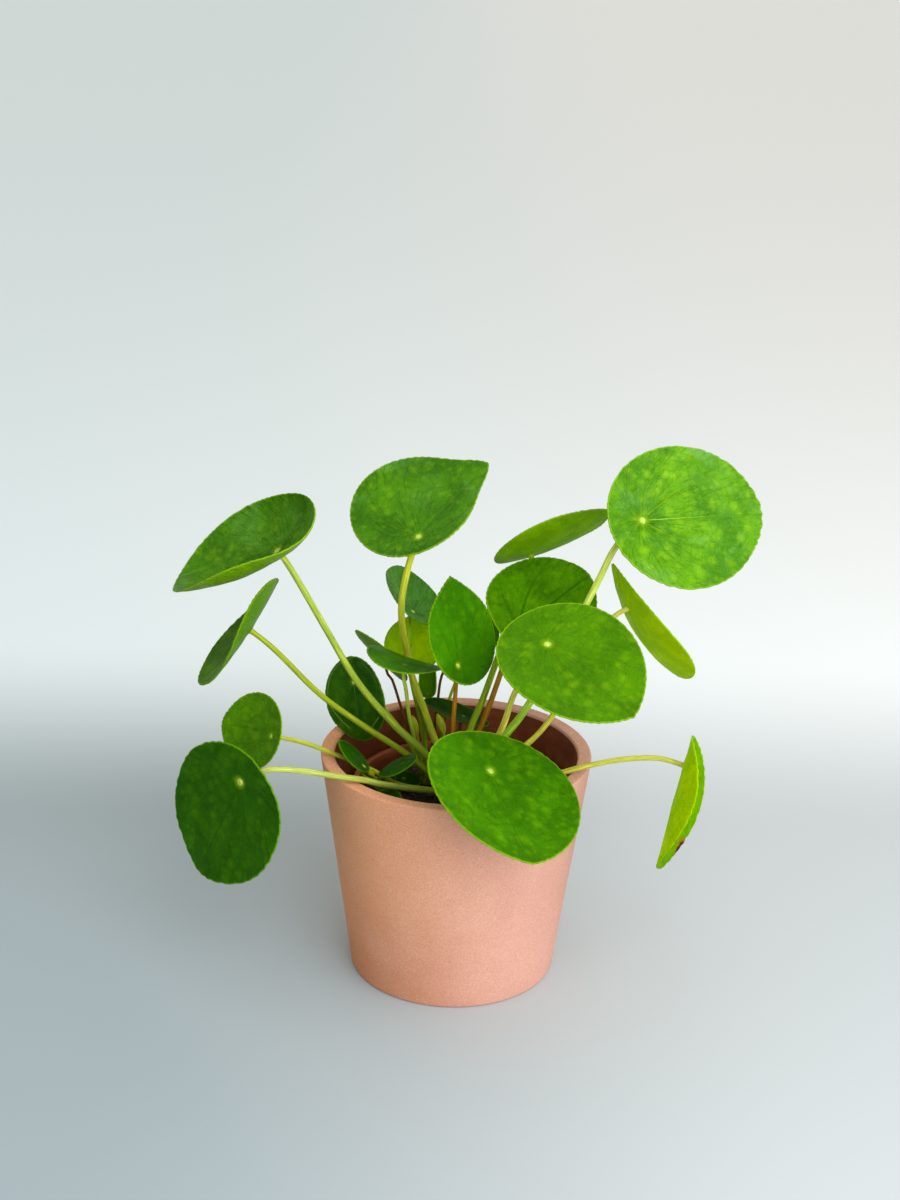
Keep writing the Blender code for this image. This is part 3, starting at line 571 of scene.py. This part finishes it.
def vein_lines(s, reach):
    """Dark valley over each main vein, which is painted shade, and the thin pale line in it that fades
    outwards.
    """
    vein, order = s.attribute("vein"), s.attribute("order")
    spread = s.ramp(reach, 0.0, 1.0, 2.1, 0.9)
    valley = s.ramp(s.math("DIVIDE", vein, spread), 0.15, 1.0, 1, 0)
    valley = s.times(valley, s.times(order, s.ramp(reach, 0.75, 1.0, 1, 0.2)))
    line = s.times(s.ramp(vein, 0.12, 0.42, 1, 0), s.ramp(reach, 0.1, 0.75, 1, 0))
    return valley, s.times(line, order)


def blade_marks(s, flat):
    """The patterns that a blade's faces share, each a mask from 0 to 1."""
    fan, reach = s.attribute("fan", "Vector"), s.attribute("reach")
    valley, line = vein_lines(s, reach)
    clouds = s.noise(flat, 3.4, 3, 0.6, 0.5)
    phase = s.math("ADD", s.attribute("branch"), s.times(s.noise(flat, 10, 2), 1.2))
    tick = s.math("PINGPONG", s.math("ADD", s.attribute("around"), s.times(clouds, 2.0)), 0.5)
    ring = s.math("PINGPONG", s.math("ADD", reach, s.times(s.noise(flat, 3, 2), 0.25)), 0.5)
    return {
        "valley": valley,
        "line": line,
        "clouds": s.ramp(clouds, 0.36, 0.62),
        "tissue": s.noise(flat, 42, 2, 0.6),
        "dots": s.times(s.ramp(s.cells(flat, 13), 0.02, 0.55, 1, 0),
                        s.ramp(s.noise(flat, 4.2, 2, 0.6), 0.32, 0.56)),
        "beads": s.times(s.ramp(s.cells(flat, 21), 0.05, 0.5, 1, 0), s.ramp(reach, 0.25, 0.55)),
        "flecks": s.times(s.ramp(s.noise(fan, 2.6, 2, 0.6), 0.5, 0.68), s.ramp(reach, 0.25, 0.75)),
        "specks": s.ramp(s.noise(flat, 95, 2, 0.6), 0.56, 0.74),
        # Patches of painted sheen
        "painted_sheen_patches": s.ramp(s.noise(flat, 2.6, 4, 0.62, 0.8), 0.5, 0.66),
        "creases": s.ramp(s.noise(fan, 1.7, 3, 0.6, 0.6), 0.53, 0.66),
        "net": s.ramp(s.cells(flat, 32, "DISTANCE_TO_EDGE"), 0.0, 0.14, 1, 0),
        "twigs": s.ramp(s.math("PINGPONG", phase, 0.5), 0.0, 0.07, 1, 0),
        "ticks": s.times(s.ramp(tick, 0.0, 0.12, 1, 0), s.ramp(s.attribute("rim"), 1.0, 6.5, 1, 0)),
        "scars": s.times(s.ramp(ring, 0.0, 0.022, 1, 0), s.ramp(s.noise(flat, 6, 1), 0.43, 0.5)),
    }


def upper_face(s, look, marks):
    return s.coats(
        s.mix(marks["clouds"], look.deep_and_shade, look.upper),
        (marks["dots"], look.spotted, look.spots),
        (marks["flecks"], 0.12 * look.spotted, look.spots),
        (marks["beads"], 0.6 * look.spotted, look.spots),
        # Painted sheen in patches
        (marks["painted_sheen_patches"], look.painted_sheen_share, PAINTED_SHEEN),
        # Painted shade in the creases
        (marks["creases"], 0.35, look.deep_and_shade),
        (s.ramp(marks["tissue"], 0.45, 0.7), 0.1, look.spots),
        (marks["specks"], 0.22, look.spots),
        (marks["net"], 0.14, look.deep_and_shade),
        (marks["twigs"], 0.26, look.deep_and_shade),
        (marks["ticks"], 0.45, look.deep_and_shade),
        # Painted shade in the valleys over the main veins
        (marks["valley"], look.vein_valley_shade, look.deep_and_shade),
        (marks["line"], look.ribbed, look.ribs),
        (marks["scars"], look.scars, look.ribs))


def lower_face(s, look, marks, flat):
    veins = s.math("MAXIMUM", marks["valley"], marks["line"])
    green = s.mix(0.35, look.under, look.upper)
    colour = s.mix(s.ramp(s.noise(flat, 8, 3), 0.4, 0.65), green, look.under)
    return s.coats(colour, (marks["net"], 0.25, look.upper), (marks["twigs"], 0.35, look.upper),
                   (veins, 0.55, look.ribs))


def edged_and_spotted(s, look, flat, colour):
    """The colour of both faces under the margin, the petiole's pale spot, rust and withered spots."""
    centre = s.attribute("centre")
    uneven = s.math("ADD", centre, s.times(s.noise(flat, 60, 1), 1.6))
    rusty = s.times(s.ramp(s.cells(flat, 60), 0.05, 0.26, 1, 0), s.ramp(s.noise(flat, 7, 2), 0.6, 0.68))
    worn = s.times(s.attribute("worn"), s.ramp(s.noise(flat, 30, 3, 0.7), 0.2, 0.6, 0.7, 1.1))
    return s.coats(
        colour,
        (s.ramp(s.attribute("rim"), 0.2, 1.1, 1, 0), 0.8, look.margin),
        (s.ramp(centre, 1.0, 5.0, 1, 0), 0.5, SPOT_HALO),
        (s.ramp(uneven, 1.5, 3.3, 1, 0), 1, SPOT),
        (rusty, 0.5, RUST),
        (s.ramp(worn, 0.25, 0.45), 1, WORN_EDGE),
        (s.ramp(worn, 0.5, 0.66), 1, WORN))


def blade_normal(s, look, marks, flat):
    """Fine relief of the blade, stronger where it is glossy."""
    height = s.times(marks["tissue"], 0.3)
    for mark, rise in ((marks["net"], -0.2), (marks["twigs"], -0.35), (marks["ticks"], -0.5),
                       (s.noise(flat, 16, 2), 1.2), (s.noise(flat, 6, 2), 3.0), (marks["creases"], -0.8)):
        height = s.math("ADD", height, s.times(mark, rise))
    return s.bump(height, 0.45 * MM, 0.45 + 2 * (look.gloss - 1.05))


def leaf_material(name, look):
    """Blade with radiating veins, paler spots, a light margin and a pale spot over its petiole."""
    s = Shader(f"leaf {name}")
    flat = s.node("UVMap", uv_map="flat").outputs[0]
    marks = blade_marks(s, flat)
    faces = s.mix(s.attribute("under"), upper_face(s, look, marks), lower_face(s, look, marks, flat))
    colour = edged_and_spotted(s, look, flat, faces)
    normal = blade_normal(s, look, marks, flat)
    roughness = s.ramp(s.noise(flat, 7, 2), 0.35, 0.65, 0.26, 0.42)
    skin = s.surface(Base_Color=colour, Roughness=roughness, Normal=normal, IOR=look.gloss)
    glow = s.mix(0.6, colour, SHINE_THROUGH)
    return s.finish(s.shine_through(look.glow, skin, Color=glow, Normal=normal))


def new_object(name, data):
    made = bpy.data.objects.new(name, data)
    bpy.context.scene.collection.objects.link(made)
    return made


def new_mesh(name, bm):
    mesh = bpy.data.meshes.new(name)
    bm.to_mesh(mesh)
    bm.free()
    return mesh


def add_piece(name, bm, material, nodes):
    """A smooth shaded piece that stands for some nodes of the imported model."""
    bmesh.ops.recalc_face_normals(bm, faces=bm.faces)
    mesh = new_mesh(name, bm)
    mesh.shade_smooth()
    mesh.materials.append(material)
    piece = new_object(name, mesh)
    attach(piece, "root")
    if nodes:
        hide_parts(*nodes)
    return piece


def circle(sides):
    """Evenly spaced points of a circle of radius 1."""
    angles = [tau * side / sides for side in range(sides)]
    return [(cos(angle), sin(angle)) for angle in angles]


def bridge(bm, rings):
    """Faces between each ring of points and the next. The first or last may be a single point."""
    for lower, upper in zip(rings, rings[1:]):
        sides = max(len(lower), len(upper))
        for side in range(sides):
            after = (side + 1) % sides
            corners = (lower[side % len(lower)], lower[after % len(lower)],
                       upper[after % len(upper)], upper[side % len(upper)])
            bm.faces.new(list(dict.fromkeys(corners)))


def turned_mesh(profile, sides):
    """A solid of revolution about Z, with an inside flag on the points that say so."""
    bm = bmesh.new()
    inside = bm.verts.layers.float.new("inside")
    rings = []
    for radius, height, flag in profile:
        ring = [bm.verts.new((radius * x, radius * y, height)) for x, y in circle(sides if radius else 1)]
        for vertex in ring:
            vertex[inside] = flag
        rings.append(ring)
    bridge(bm, rings)
    return bm


def rounded(profile, roundings, steps=5):
    """Profile of (radius, height, flag) points with a quarter turn at each corner that has a rounding."""
    points = []
    for index, (radius, height, flag) in enumerate(profile):
        size = roundings.get(index, 0)
        here = Vector((radius, height))
        if not size:
            points.append((radius, height, flag))
            continue
        before = (Vector(profile[index - 1][:2]) - here).normalized() * size
        after = (Vector(profile[index + 1][:2]) - here).normalized() * size
        for step in range(steps + 1):
            t = step / steps
            point = here + before * (1 - t) ** 2 + after * t ** 2
            points.append((point.x, point.y, flag))
    return points


def subdivided(profile, longest):
    """Profile with extra points on its long straight runs."""
    points = [profile[0]]
    for start, end in zip(profile, profile[1:]):
        steps = max(1, ceil(dist(start[:2], end[:2]) / longest))
        for step in range(1, steps + 1):
            points.append(mix(start, end, step / steps))
    return points


def mix(first, second, share):
    return tuple(a + (b - a) * share for a, b in zip(first, second))


def make_pot(material):
    slope = (POT_TOP_RADIUS - POT_BASE_RADIUS) / POT_HEIGHT
    mouth = POT_TOP_RADIUS - POT_WALL
    corners = [
        (0, 0, 0),
        (POT_BASE_RADIUS, 0, 0),
        (POT_TOP_RADIUS, POT_HEIGHT, 0),
        (mouth, POT_HEIGHT, 0),
        *((mouth - slope * depth, POT_HEIGHT - depth, flag) for flag, depth in enumerate(POT_LIP)),
        (POT_BASE_RADIUS + slope * POT_FLOOR - POT_WALL, POT_FLOOR, 1),
        (0, POT_FLOOR, 1),
    ]
    profile = rounded(corners, {1: POT_EDGE, 2: POT_EDGE, 3: POT_EDGE, 6: POT_FLOOR_EDGE})
    bm = turned_mesh(subdivided(profile, POT_RUN), POT_SIDES)
    return add_piece("cover_pot", bm, material, ["pot"])


def make_nursery_pot(material):
    top = INNER_FOOT + INNER_HEIGHT
    rim_foot = top - INNER_RIM_DEPTH
    corners = [
        (0, INNER_FOOT, 0),
        (INNER_BASE_RADIUS, INNER_FOOT, 0),
        (INNER_TOP_RADIUS, rim_foot, 0),
        (INNER_RIM_RADIUS, rim_foot, 0),
        (INNER_RIM_RADIUS, top, 0),
        (INNER_TOP_RADIUS, top, 0),
        (INNER_TOP_RADIUS - INNER_WALL, rim_foot, 1),
        (INNER_BASE_RADIUS - INNER_WALL, INNER_FOOT + INNER_WALL, 1),
        (0, INNER_FOOT + INNER_WALL, 1),
    ]
    bm = turned_mesh(rounded(corners, INNER_ROUNDINGS), INNER_SIDES)
    piece = add_piece("inner_pot", bm, material, ["nursery_pot"])
    for x, y in circle(DRAIN_COUNT):
        cut_hole(piece, (DRAIN_CIRCLE_RADIUS * x, DRAIN_CIRCLE_RADIUS * y, INNER_FOOT))
    return piece


def cut_hole(piece, place):
    """Drill a drain hole through the piece."""
    bm = bmesh.new()
    bmesh.ops.create_cone(bm, cap_ends=True, segments=DRAIN_SIDES, radius1=DRAIN_RADIUS,
                          radius2=DRAIN_RADIUS, depth=DRAIN_CUT)
    bmesh.ops.translate(bm, verts=bm.verts, vec=place)
    cutter = new_object("drain", new_mesh("drain", bm))
    modifier = piece.modifiers.new("drain", "BOOLEAN")
    modifier.object = cutter
    modifier.operation = "DIFFERENCE"
    shaped = piece.evaluated_get(bpy.context.evaluated_depsgraph_get())
    mesh = bpy.data.meshes.new_from_object(shaped)
    piece.modifiers.clear()
    piece.data = mesh
    bpy.data.objects.remove(cutter)


def soil_height(x, y):
    """Lumpy surface of the soil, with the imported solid's waves and finer crumbs."""
    waves = sum(height * sin(turn_x * x / MM + turn_y * y / MM + start)
                for turn_x, turn_y, start, height in SOIL_WAVES)
    crumbs = noise.fractal(Vector((x, y, 0)) / MM * CRUMB_SCALE, 0.8, 2.1, 5)
    return SOIL_TOP + SOIL_LUMP * waves + CRUMB_HEIGHT * crumbs


def make_soil(material):
    bm = bmesh.new()
    around = circle(SOIL_SIDES)
    rings = [[bm.verts.new((0, 0, soil_height(0, 0)))]]
    for step in range(1, SOIL_RINGS + 1):
        radius = SOIL_EDGE * step / SOIL_RINGS
        rings.append([bm.verts.new((radius * x, radius * y, soil_height(radius * x, radius * y)))
                      for x, y in around])
    for radius, height in SOIL_WALL:
        rings.append([bm.verts.new((radius * x, radius * y, height)) for x, y in around])
    bridge(bm, rings)
    bm.faces.new(rings[-1])
    return add_piece("potting_soil", bm, material, ["soil"])


def make_grit(material):
    """Loose bits on the soil: mostly bark and clay, some pale grit and fibres."""
    noise.seed_set(GRIT_SEED)
    bm = bmesh.new()
    tint = bm.verts.layers.float_color.new("tint")
    for colour, (small, large), slim, count in GRIT:
        for _ in range(count):
            spin = tau * noise.random()
            radius = (SOIL_EDGE - GRIT_MARGIN) * sqrt(noise.random())
            angle = tau * noise.random()
            x, y = radius * cos(angle), radius * sin(angle)
            size = (small + (large - small) * noise.random() ** 2) * MM
            made = bmesh.ops.create_icosphere(bm, subdivisions=1, radius=1)["verts"]
            shade = 0.7 + 0.6 * noise.random()
            turn = Matrix.Rotation(spin, 3, "Z") @ Matrix.Rotation(0.7 * noise.random() - 0.35, 3, "X")
            shape = Vector((size / 2, size / 2 * slim, size / 2 * min(slim, GRIT_FLATTEST)))
            place = Vector((x, y, soil_height(x, y) + size * slim * GRIT_SHOWING))
            for vertex in made:
                rough = 1 + 0.5 * noise.noise(vertex.co * 1.7 + Vector((x, y, spin)) / MM)
                vertex.co = turn @ (vertex.co * rough * shape) + place
                vertex[tint] = (*(shade * channel for channel in colour), 1)
    return add_piece("soil_grit", bm, material, [])


def blade_axes(leaf):
    """Directions of the midrib, of the blade's left side and of its upper face."""
    lean, toward, turn = (radians(angle) for angle in (leaf.lean, leaf.toward, leaf.turn))
    face = Vector((sin(lean) * cos(toward), sin(lean) * sin(toward), cos(lean)))
    downhill = Vector((cos(lean) * cos(toward), cos(lean) * sin(toward), -sin(lean)))
    midrib = downhill * cos(turn) + face.cross(downhill) * sin(turn)
    return midrib, face.cross(midrib), face


def bend(distance, height, curvature):
    """Roll a flat strip down around a circle of the given curvature, one over its radius."""
    if not curvature:
        return distance, height
    angle = curvature * distance
    radius = 1 / curvature + height
    return radius * sin(angle), radius * cos(angle) - 1 / curvature


def blade_edge(leaf, angle):
    """Point of the flat blade's edge, along and across the midrib from the petiole, in metres."""
    length, width = (size * MM for size in leaf.size)
    angle %= tau
    from_tip = min(angle, tau - angle)
    along = (0.5 - leaf.hold) * length + length / 2 * cos(angle)
    along += leaf.point * length * exp(-(from_tip / TIP_SPREAD) ** 2)
    along += leaf.spike * MM * exp(-from_tip / SPIKE_SPREAD)
    across = width / 2 * sin(angle) * (1 - leaf.egg * cos(angle)) + leaf.aside * width
    return along, across


def curled(leaf, flat, angle, share, height):
    """Place of a point of the flat blade once the blade is waved, cupped, twisted and drooped."""
    length, width = (size * MM for size in leaf.size)
    along, across = flat
    wave, count = leaf.wave
    height += wave * MM * sin(count * angle) * share ** 2
    across, height = bend(across, height, -radians(leaf.cup) / (width / 2))
    turn = radians(leaf.twist) * along / (length / 2)
    across, height = (across * cos(turn) - height * sin(turn), across * sin(turn) + height * cos(turn))
    along, height = bend(along, height, radians(leaf.droop) / (length / 2))
    return Vector((along, across, height))


def blade_matrix(leaf):
    axes = Matrix(blade_axes(leaf)).transposed().to_4x4()
    return Matrix.Translation(Vector(leaf.place) * MM) @ axes


def blade_kind(leaf):
    """Half the blade's thickness, and its columns and rings of points."""
    thickness, columns, rings = SMALL_BLADE if leaf.size[0] < SMALL_LENGTH else LARGE_BLADE
    return thickness / 2, columns, rings


def turned_off(angle, degrees):
    """How far an angle is from a direction."""
    return remainder(angle - radians(degrees), tau)


def bell(angle, middle, spread):
    """1 in the middle of a stretch of the edge and less to its sides."""
    return exp(-(turned_off(angle, middle) / radians(spread)) ** 2)


def edge_curl(leaf, angle, share):
    """Extra height where a stretch of the blade's edge curls up."""
    middle, spread, lift = leaf.curl
    rise = max(0, share - CURL_START) / (1 - CURL_START)
    return lift * MM * bell(angle, middle, spread) * rise ** 2


def worn_share(leaf, angle, share):
    """How withered the blade is at a spot of its margin: 1 in the spot's middle."""
    if not leaf.worn:
        return 0
    return bell(angle, *leaf.worn) * max(0, 1 - (1 - share) / WORN_DEPTH)


def scallop(leaf, angle, seed):
    """Rounded scallops of the margin, as an uneven distance in metres from its mean line."""
    depth, count = leaf.scallops
    uneven = noise.noise(Vector((cos(angle), sin(angle), seed)) * 2.2)
    waves = abs(sin(count / 2 * angle + 5 * uneven)) - 0.64
    return depth * MM * waves * (0.9 + 0.8 * uneven)


def vein_distance(angle, radius):
    """Distance in millimetres to the nearest main vein, and that vein's strength."""
    return min((abs(turned_off(angle, degrees)) * radius, order) for degrees, order in VEINS)


def branch_phase(angle, radius):
    """A number that rises by one from each side vein to the next, off the nearest main vein."""
    apart = min(abs(turned_off(angle, degrees)) for degrees, _ in VEINS)
    return (radius - BRANCH_SLANT * apart) / BRANCH_SPACING


def blade_relief(leaf, seed, drift, flat, share, swept, vein, order):
    """Height of the blade's fine shapes: sunken veins, puckers, the dimple and the edge."""
    place = (flat / MM).to_3d() / PUCKER_SIZE + drift
    puckers = noise.noise(place) + 0.4 * noise.noise(place * 2.3)
    relief = -VEIN_DEPTH * order * exp(-(vein / VEIN_WIDTH) ** 2) * min(1, 4 * (1 - share))
    relief += leaf.pucker * MM * puckers * min(1, 5 * (1 - share) + 0.5)
    relief -= DIMPLE_DEPTH * vein_scale(leaf) * exp(-(flat.length / MM / DIMPLE_RADIUS) ** 2)
    relief += scallop(leaf, swept, seed + 9) * 0.8 * share ** SCALLOP_REACH
    return relief + edge_curl(leaf, swept, share)


def vein_scale(leaf):
    return min(1, max(0.5, leaf.size[0] / FULL_LENGTH))


def blade_shares(leaf, count):
    """Shares of the way from the petiole to the edge where the blade has a ring of points."""
    shares = [sin(pi / 2 * step / count) ** 0.9 for step in range(1, count)]
    return shares + [1 - inset / leaf.size[0] for inset in MARGIN_RINGS]


def make_blade(name, leaf, material, seed):
    """Finely divided blade: a fan of vein lines from the petiole, crossed by rings."""
    half, columns, ring_count = blade_kind(leaf)
    shares = blade_shares(leaf, ring_count)
    scale = vein_scale(leaf)
    drift = Vector((seed * 7.3, seed * 3.1, 0))
    bm = bmesh.new()
    layers = {key: bm.verts.layers.float.new(key) for key in BLADE_VALUES}
    fan = bm.verts.layers.float_vector.new("fan")
    uv = bm.loops.layers.uv.new("flat")
    flats = {}

    def add_point(angle, share, height, under):
        swept = angle + VEIN_SWEEP * sin(angle) * (1 - share)
        edge = Vector(blade_edge(leaf, swept))
        radius = edge.length / MM
        flat = edge * share * (1 + scallop(leaf, swept, seed) / edge.length * share ** SCALLOP_REACH)
        vein, order = vein_distance(angle, radius * share)
        height += blade_relief(leaf, seed, drift, flat, share, swept, vein, order)
        vertex = bm.verts.new(curled(leaf, flat, swept, share, height))
        centre = flat.length / MM / scale + (0 if leaf.dotted else HIDDEN_SPOT)
        values = (vein / scale, order, branch_phase(angle, radius * share / scale), angle * TICKS, share,
                  radius * (1 - share), centre, under, worn_share(leaf, swept, share))
        for key, value in zip(BLADE_VALUES, values):
            vertex[layers[key]] = value
        vertex[fan] = Vector((6 * cos(angle), 6 * sin(angle), radius * share / 18)) + drift
        flats[vertex] = flat / (100 * MM) + Vector((seed * 0.37, seed * 0.61))
        return vertex

    def add_ring(share, height, under):
        return [add_point(tau * column / columns, share, height, under) for column in range(columns)]

    sides = []
    for height, under in ((half, 0), (-half, 1)):
        rings = [[add_point(0, 0, height, under)]]
        for share in shares:
            rings.append(add_ring(share, height * (1 if share < shares[-1] else MARGIN_SQUEEZE), under))
        sides.append(rings)
    rim = add_ring(1, 0, 0.5)
    for rings in sides:
        bridge(bm, rings + [rim])
    for face in bm.faces:
        for loop in face.loops:
            loop[uv].uv = flats[loop.vert]
    piece = add_piece(f"blade_{name[-2:]}", bm, material, [name])
    piece.data.transform(blade_matrix(leaf))
    return piece


def smooth_path(knots, arrival, step):
    """Smooth curve through the knots that ends in the arrival direction."""
    path = [knots[0]]
    for index in range(len(knots) - 1):
        start, end = knots[index], knots[index + 1]
        before = knots[index - 1] if index else start * 2 - end
        span = (end - start).length
        leave = (end - before).normalized() * span
        last = index == len(knots) - 2
        arrive = (arrival if last else knots[index + 2] - start).normalized() * span
        steps = max(2, round(span / step))
        for number in range(1, steps + 1):
            t = number / steps
            path.append(start * (2 * t ** 3 - 3 * t ** 2 + 1) + leave * (t ** 3 - 2 * t ** 2 + t)
                        + end * (3 * t ** 2 - 2 * t ** 3) + arrive * (t ** 3 - t ** 2))
    return path


def petiole_path(leaf):
    """Middle line of the petiole, from inside its stem into the blade."""
    face = blade_axes(leaf)[2]
    end = Vector(leaf.place) * MM - face * blade_kind(leaf)[0]
    knots = [Vector(point) * MM for point in (leaf.root, *reversed(leaf.way))]
    knots.append(end - face * leaf.straight * MM)
    return smooth_path(knots, face, STALK_STEP) + [end - face * 1.2 * MM, end - face * 0.5 * MM, end]


def distances(path):
    """Distance along the path at each of its points."""
    return list(accumulate(((b - a).length for a, b in zip(path, path[1:])), initial=0))


def add_tube(bm, path, radii, sides, tints):
    """Closed round tube along a path, with a radius and a tint for each of its points."""
    tint = bm.verts.layers.float_color.get("tint")
    grain = bm.verts.layers.float_vector.get("grain")
    across = (path[1] - path[0]).orthogonal()
    rings = []
    for index, (middle, radius, travelled) in enumerate(zip(path, radii, distances(path))):
        along = (path[min(index + 1, len(path) - 1)] - path[max(index - 1, 0)]).normalized()
        across = (across - along * across.dot(along)).normalized()
        other = along.cross(across)
        shift = travelled / MM * STREAK_STRETCH + path[-1].x / MM
        ring = []
        for x, y in circle(sides):
            vertex = bm.verts.new(middle + (across * x + other * y) * radius)
            vertex[tint] = (*tints[index], 1)
            vertex[grain] = Vector((x, y, shift))
            ring.append(vertex)
        rings.append(ring)
    bm.faces.new(rings[0])
    bm.faces.new(rings[-1])
    bridge(bm, rings)


def add_petiole(bm, leaf):
    """Round tapered stalk that widens where it meets the blade and the stem."""
    path = petiole_path(leaf)
    thin, thick = (diameter * MM / 2 for diameter in leaf.petiole)
    low, high = STALKS[leaf.stalk]
    flare, flare_length = STALK_FLARE
    rough, scale = STALK_KNOBBLE
    travels = distances(path)
    total = travels[-1]
    radii, tints = [], []
    for point, travelled in zip(path, travels):
        share = travelled / total
        wider = flare * exp(-((total - travelled) / flare_length) ** 2)
        knobble = rough * noise.noise(point / MM * scale)
        radii.append((thick + (thin - thick) * sqrt(share)) * (1 + wider + knobble))
        tints.append(mix(low, high, share))
    add_tube(bm, path, radii, STALK_SIDES, tints)


def add_stem_body(bm, stem):
    """Short stem with the rings that fallen leaves left."""
    top = stem.top * MM
    place, crown = (Vector((*point, 0)) * MM for point in (stem.place, stem.crown))
    path, radii, tints = [], [], []
    for step in range(STEM_RINGS + 1):
        height = STEM_FOOT + (top - STEM_FOOT) * step / STEM_RINGS
        share = max(0, (height - STEM_BEND) / (top - STEM_BEND))
        middle = place.lerp(crown, share)
        middle.z = height
        path.append(middle)
        scar = 1 + SCAR_RELIEF * cos(tau * (height - STEM_FOOT) / SCAR_SPACING)
        dome = sqrt(max(0.05, 1 - share ** 6))
        radii.append(stem.radius * MM * scar * (1 - STEM_TAPER * share ** 2) * dome)
        tints.append(mix(STEM_LOW, STEM_HIGH, share ** 0.7))
    add_tube(bm, path, radii, STEM_SIDES, tints)


def add_young_leaf(bm, young):
    """Slim stalk that swells into a folded leaf and ends in its tip."""
    root, foot, tip = (Vector(point) * MM for point in (young.root, young.foot, young.tip))
    path = smooth_path([root, foot, tip], tip - foot, YOUNG_STEP)
    bud = (tip - foot).length
    radii, tints = [], []
    for point in path:
        share = max(0, (point - foot).dot(tip - foot) / bud ** 2)
        swell = sin(pi * min(share, 1)) ** 0.8
        radii.append(YOUNG_STALK * (1 - 0.7 * share) + young.radius * MM * 0.95 * swell)
        tints.append(mix(YOUNG_LOW, YOUNG_HIGH, share))
    add_tube(bm, path, radii, YOUNG_SIDES, tints)


def make_stem(name, stem, material):
    bm = bmesh.new()
    bm.verts.layers.float_color.new("tint")
    bm.verts.layers.float_vector.new("grain")
    add_stem_body(bm, stem)
    for leaf in LEAVES.values():
        if leaf.stem == name:
            add_petiole(bm, leaf)
    for young in YOUNG_LEAVES:
        if young.stem == name:
            add_young_leaf(bm, young)
    return add_piece(f"stalks_{name}", bm, material, [name])


def make_plant():
    stalks = stalk_material()
    looks = {name: leaf_material(name, look) for name, look in LOOKS.items()}
    for name, stem in STEMS.items():
        make_stem(name, stem, stalks)
    for seed, (name, leaf) in enumerate(LEAVES.items()):
        make_blade(name, leaf, looks[leaf.look], seed)


def make_camera():
    data = bpy.data.cameras.new("camera")
    data.lens = CAMERA_LENS
    data.clip_start, data.clip_end = CAMERA_CLIP
    camera = new_object("camera", data)
    tilt = Matrix.Rotation(pi / 2 - CAMERA_DOWN, 4, "X")
    camera.matrix_world = Matrix.Translation(CAMERA_PLACE) @ tilt @ Matrix.Rotation(CAMERA_ROLL, 4, "Z")
    bpy.context.scene.camera = camera


def make_lamp():
    """Large soft lamp, as a window to the right."""
    data = bpy.data.lights.new("window", "AREA")
    data.shape = "SQUARE"
    data.size = LAMP_SIZE
    data.energy = LAMP_POWER
    data.color = LAMP_COLOUR
    lamp = new_object("window", data)
    lamp.location = LAMP_PLACE
    aim = Vector(LAMP_TARGET) - Vector(LAMP_PLACE)
    lamp.rotation_euler = aim.to_track_quat("-Z", "Y").to_euler()


def make_surround():
    """Even light from all round."""
    world = bpy.data.worlds.new("surround")
    world.use_nodes = True
    background = world.node_tree.nodes["Background"]
    background.inputs["Color"].default_value = (*WORLD_COLOUR, 1)
    background.inputs["Strength"].default_value = WORLD_STRENGTH
    bpy.context.scene.world = world
    bpy.context.scene.view_settings.view_transform = "Standard"


def floor_material():
    """Smooth light grey, paler to the right as painted light and darker to the left as painted shade, and
    paler far behind the plant.
    """
    s = Shader("floor")
    parts = s.node("SeparateXYZ", {"Vector": s.place()}).outputs
    # Painted light and shade: darker to the left, paler to the right
    near = s.mix(s.ramp(parts["X"], *NEAR_LIGHT_CHANGE), NEAR_SHADED_LEFT, NEAR_LIT_RIGHT)
    far = s.mix(s.ramp(parts["X"], *FAR_LIGHT_CHANGE), FAR_SHADED_LEFT, FAR_LIT_RIGHT)
    colour = s.mix(s.ramp(parts["Y"], *DEPTH_CHANGE), near, far)
    return s.finish(s.surface(Base_Color=colour, Roughness=0.55, Specular_IOR_Level=0.3))


def make_floor(material):
    bm = bmesh.new()
    bmesh.ops.create_grid(bm, x_segments=1, y_segments=1, size=FLOOR_SIZE)
    mesh = new_mesh("floor", bm)
    mesh.materials.append(material)
    floor = new_object("floor", mesh)


def main():
    make_camera()
    make_floor(floor_material())
    make_surround()
    make_lamp()
    make_pot(pot_material())
    make_nursery_pot(nursery_material())
    make_soil(soil_material())
    make_grit(grit_material())
    make_plant()


main()
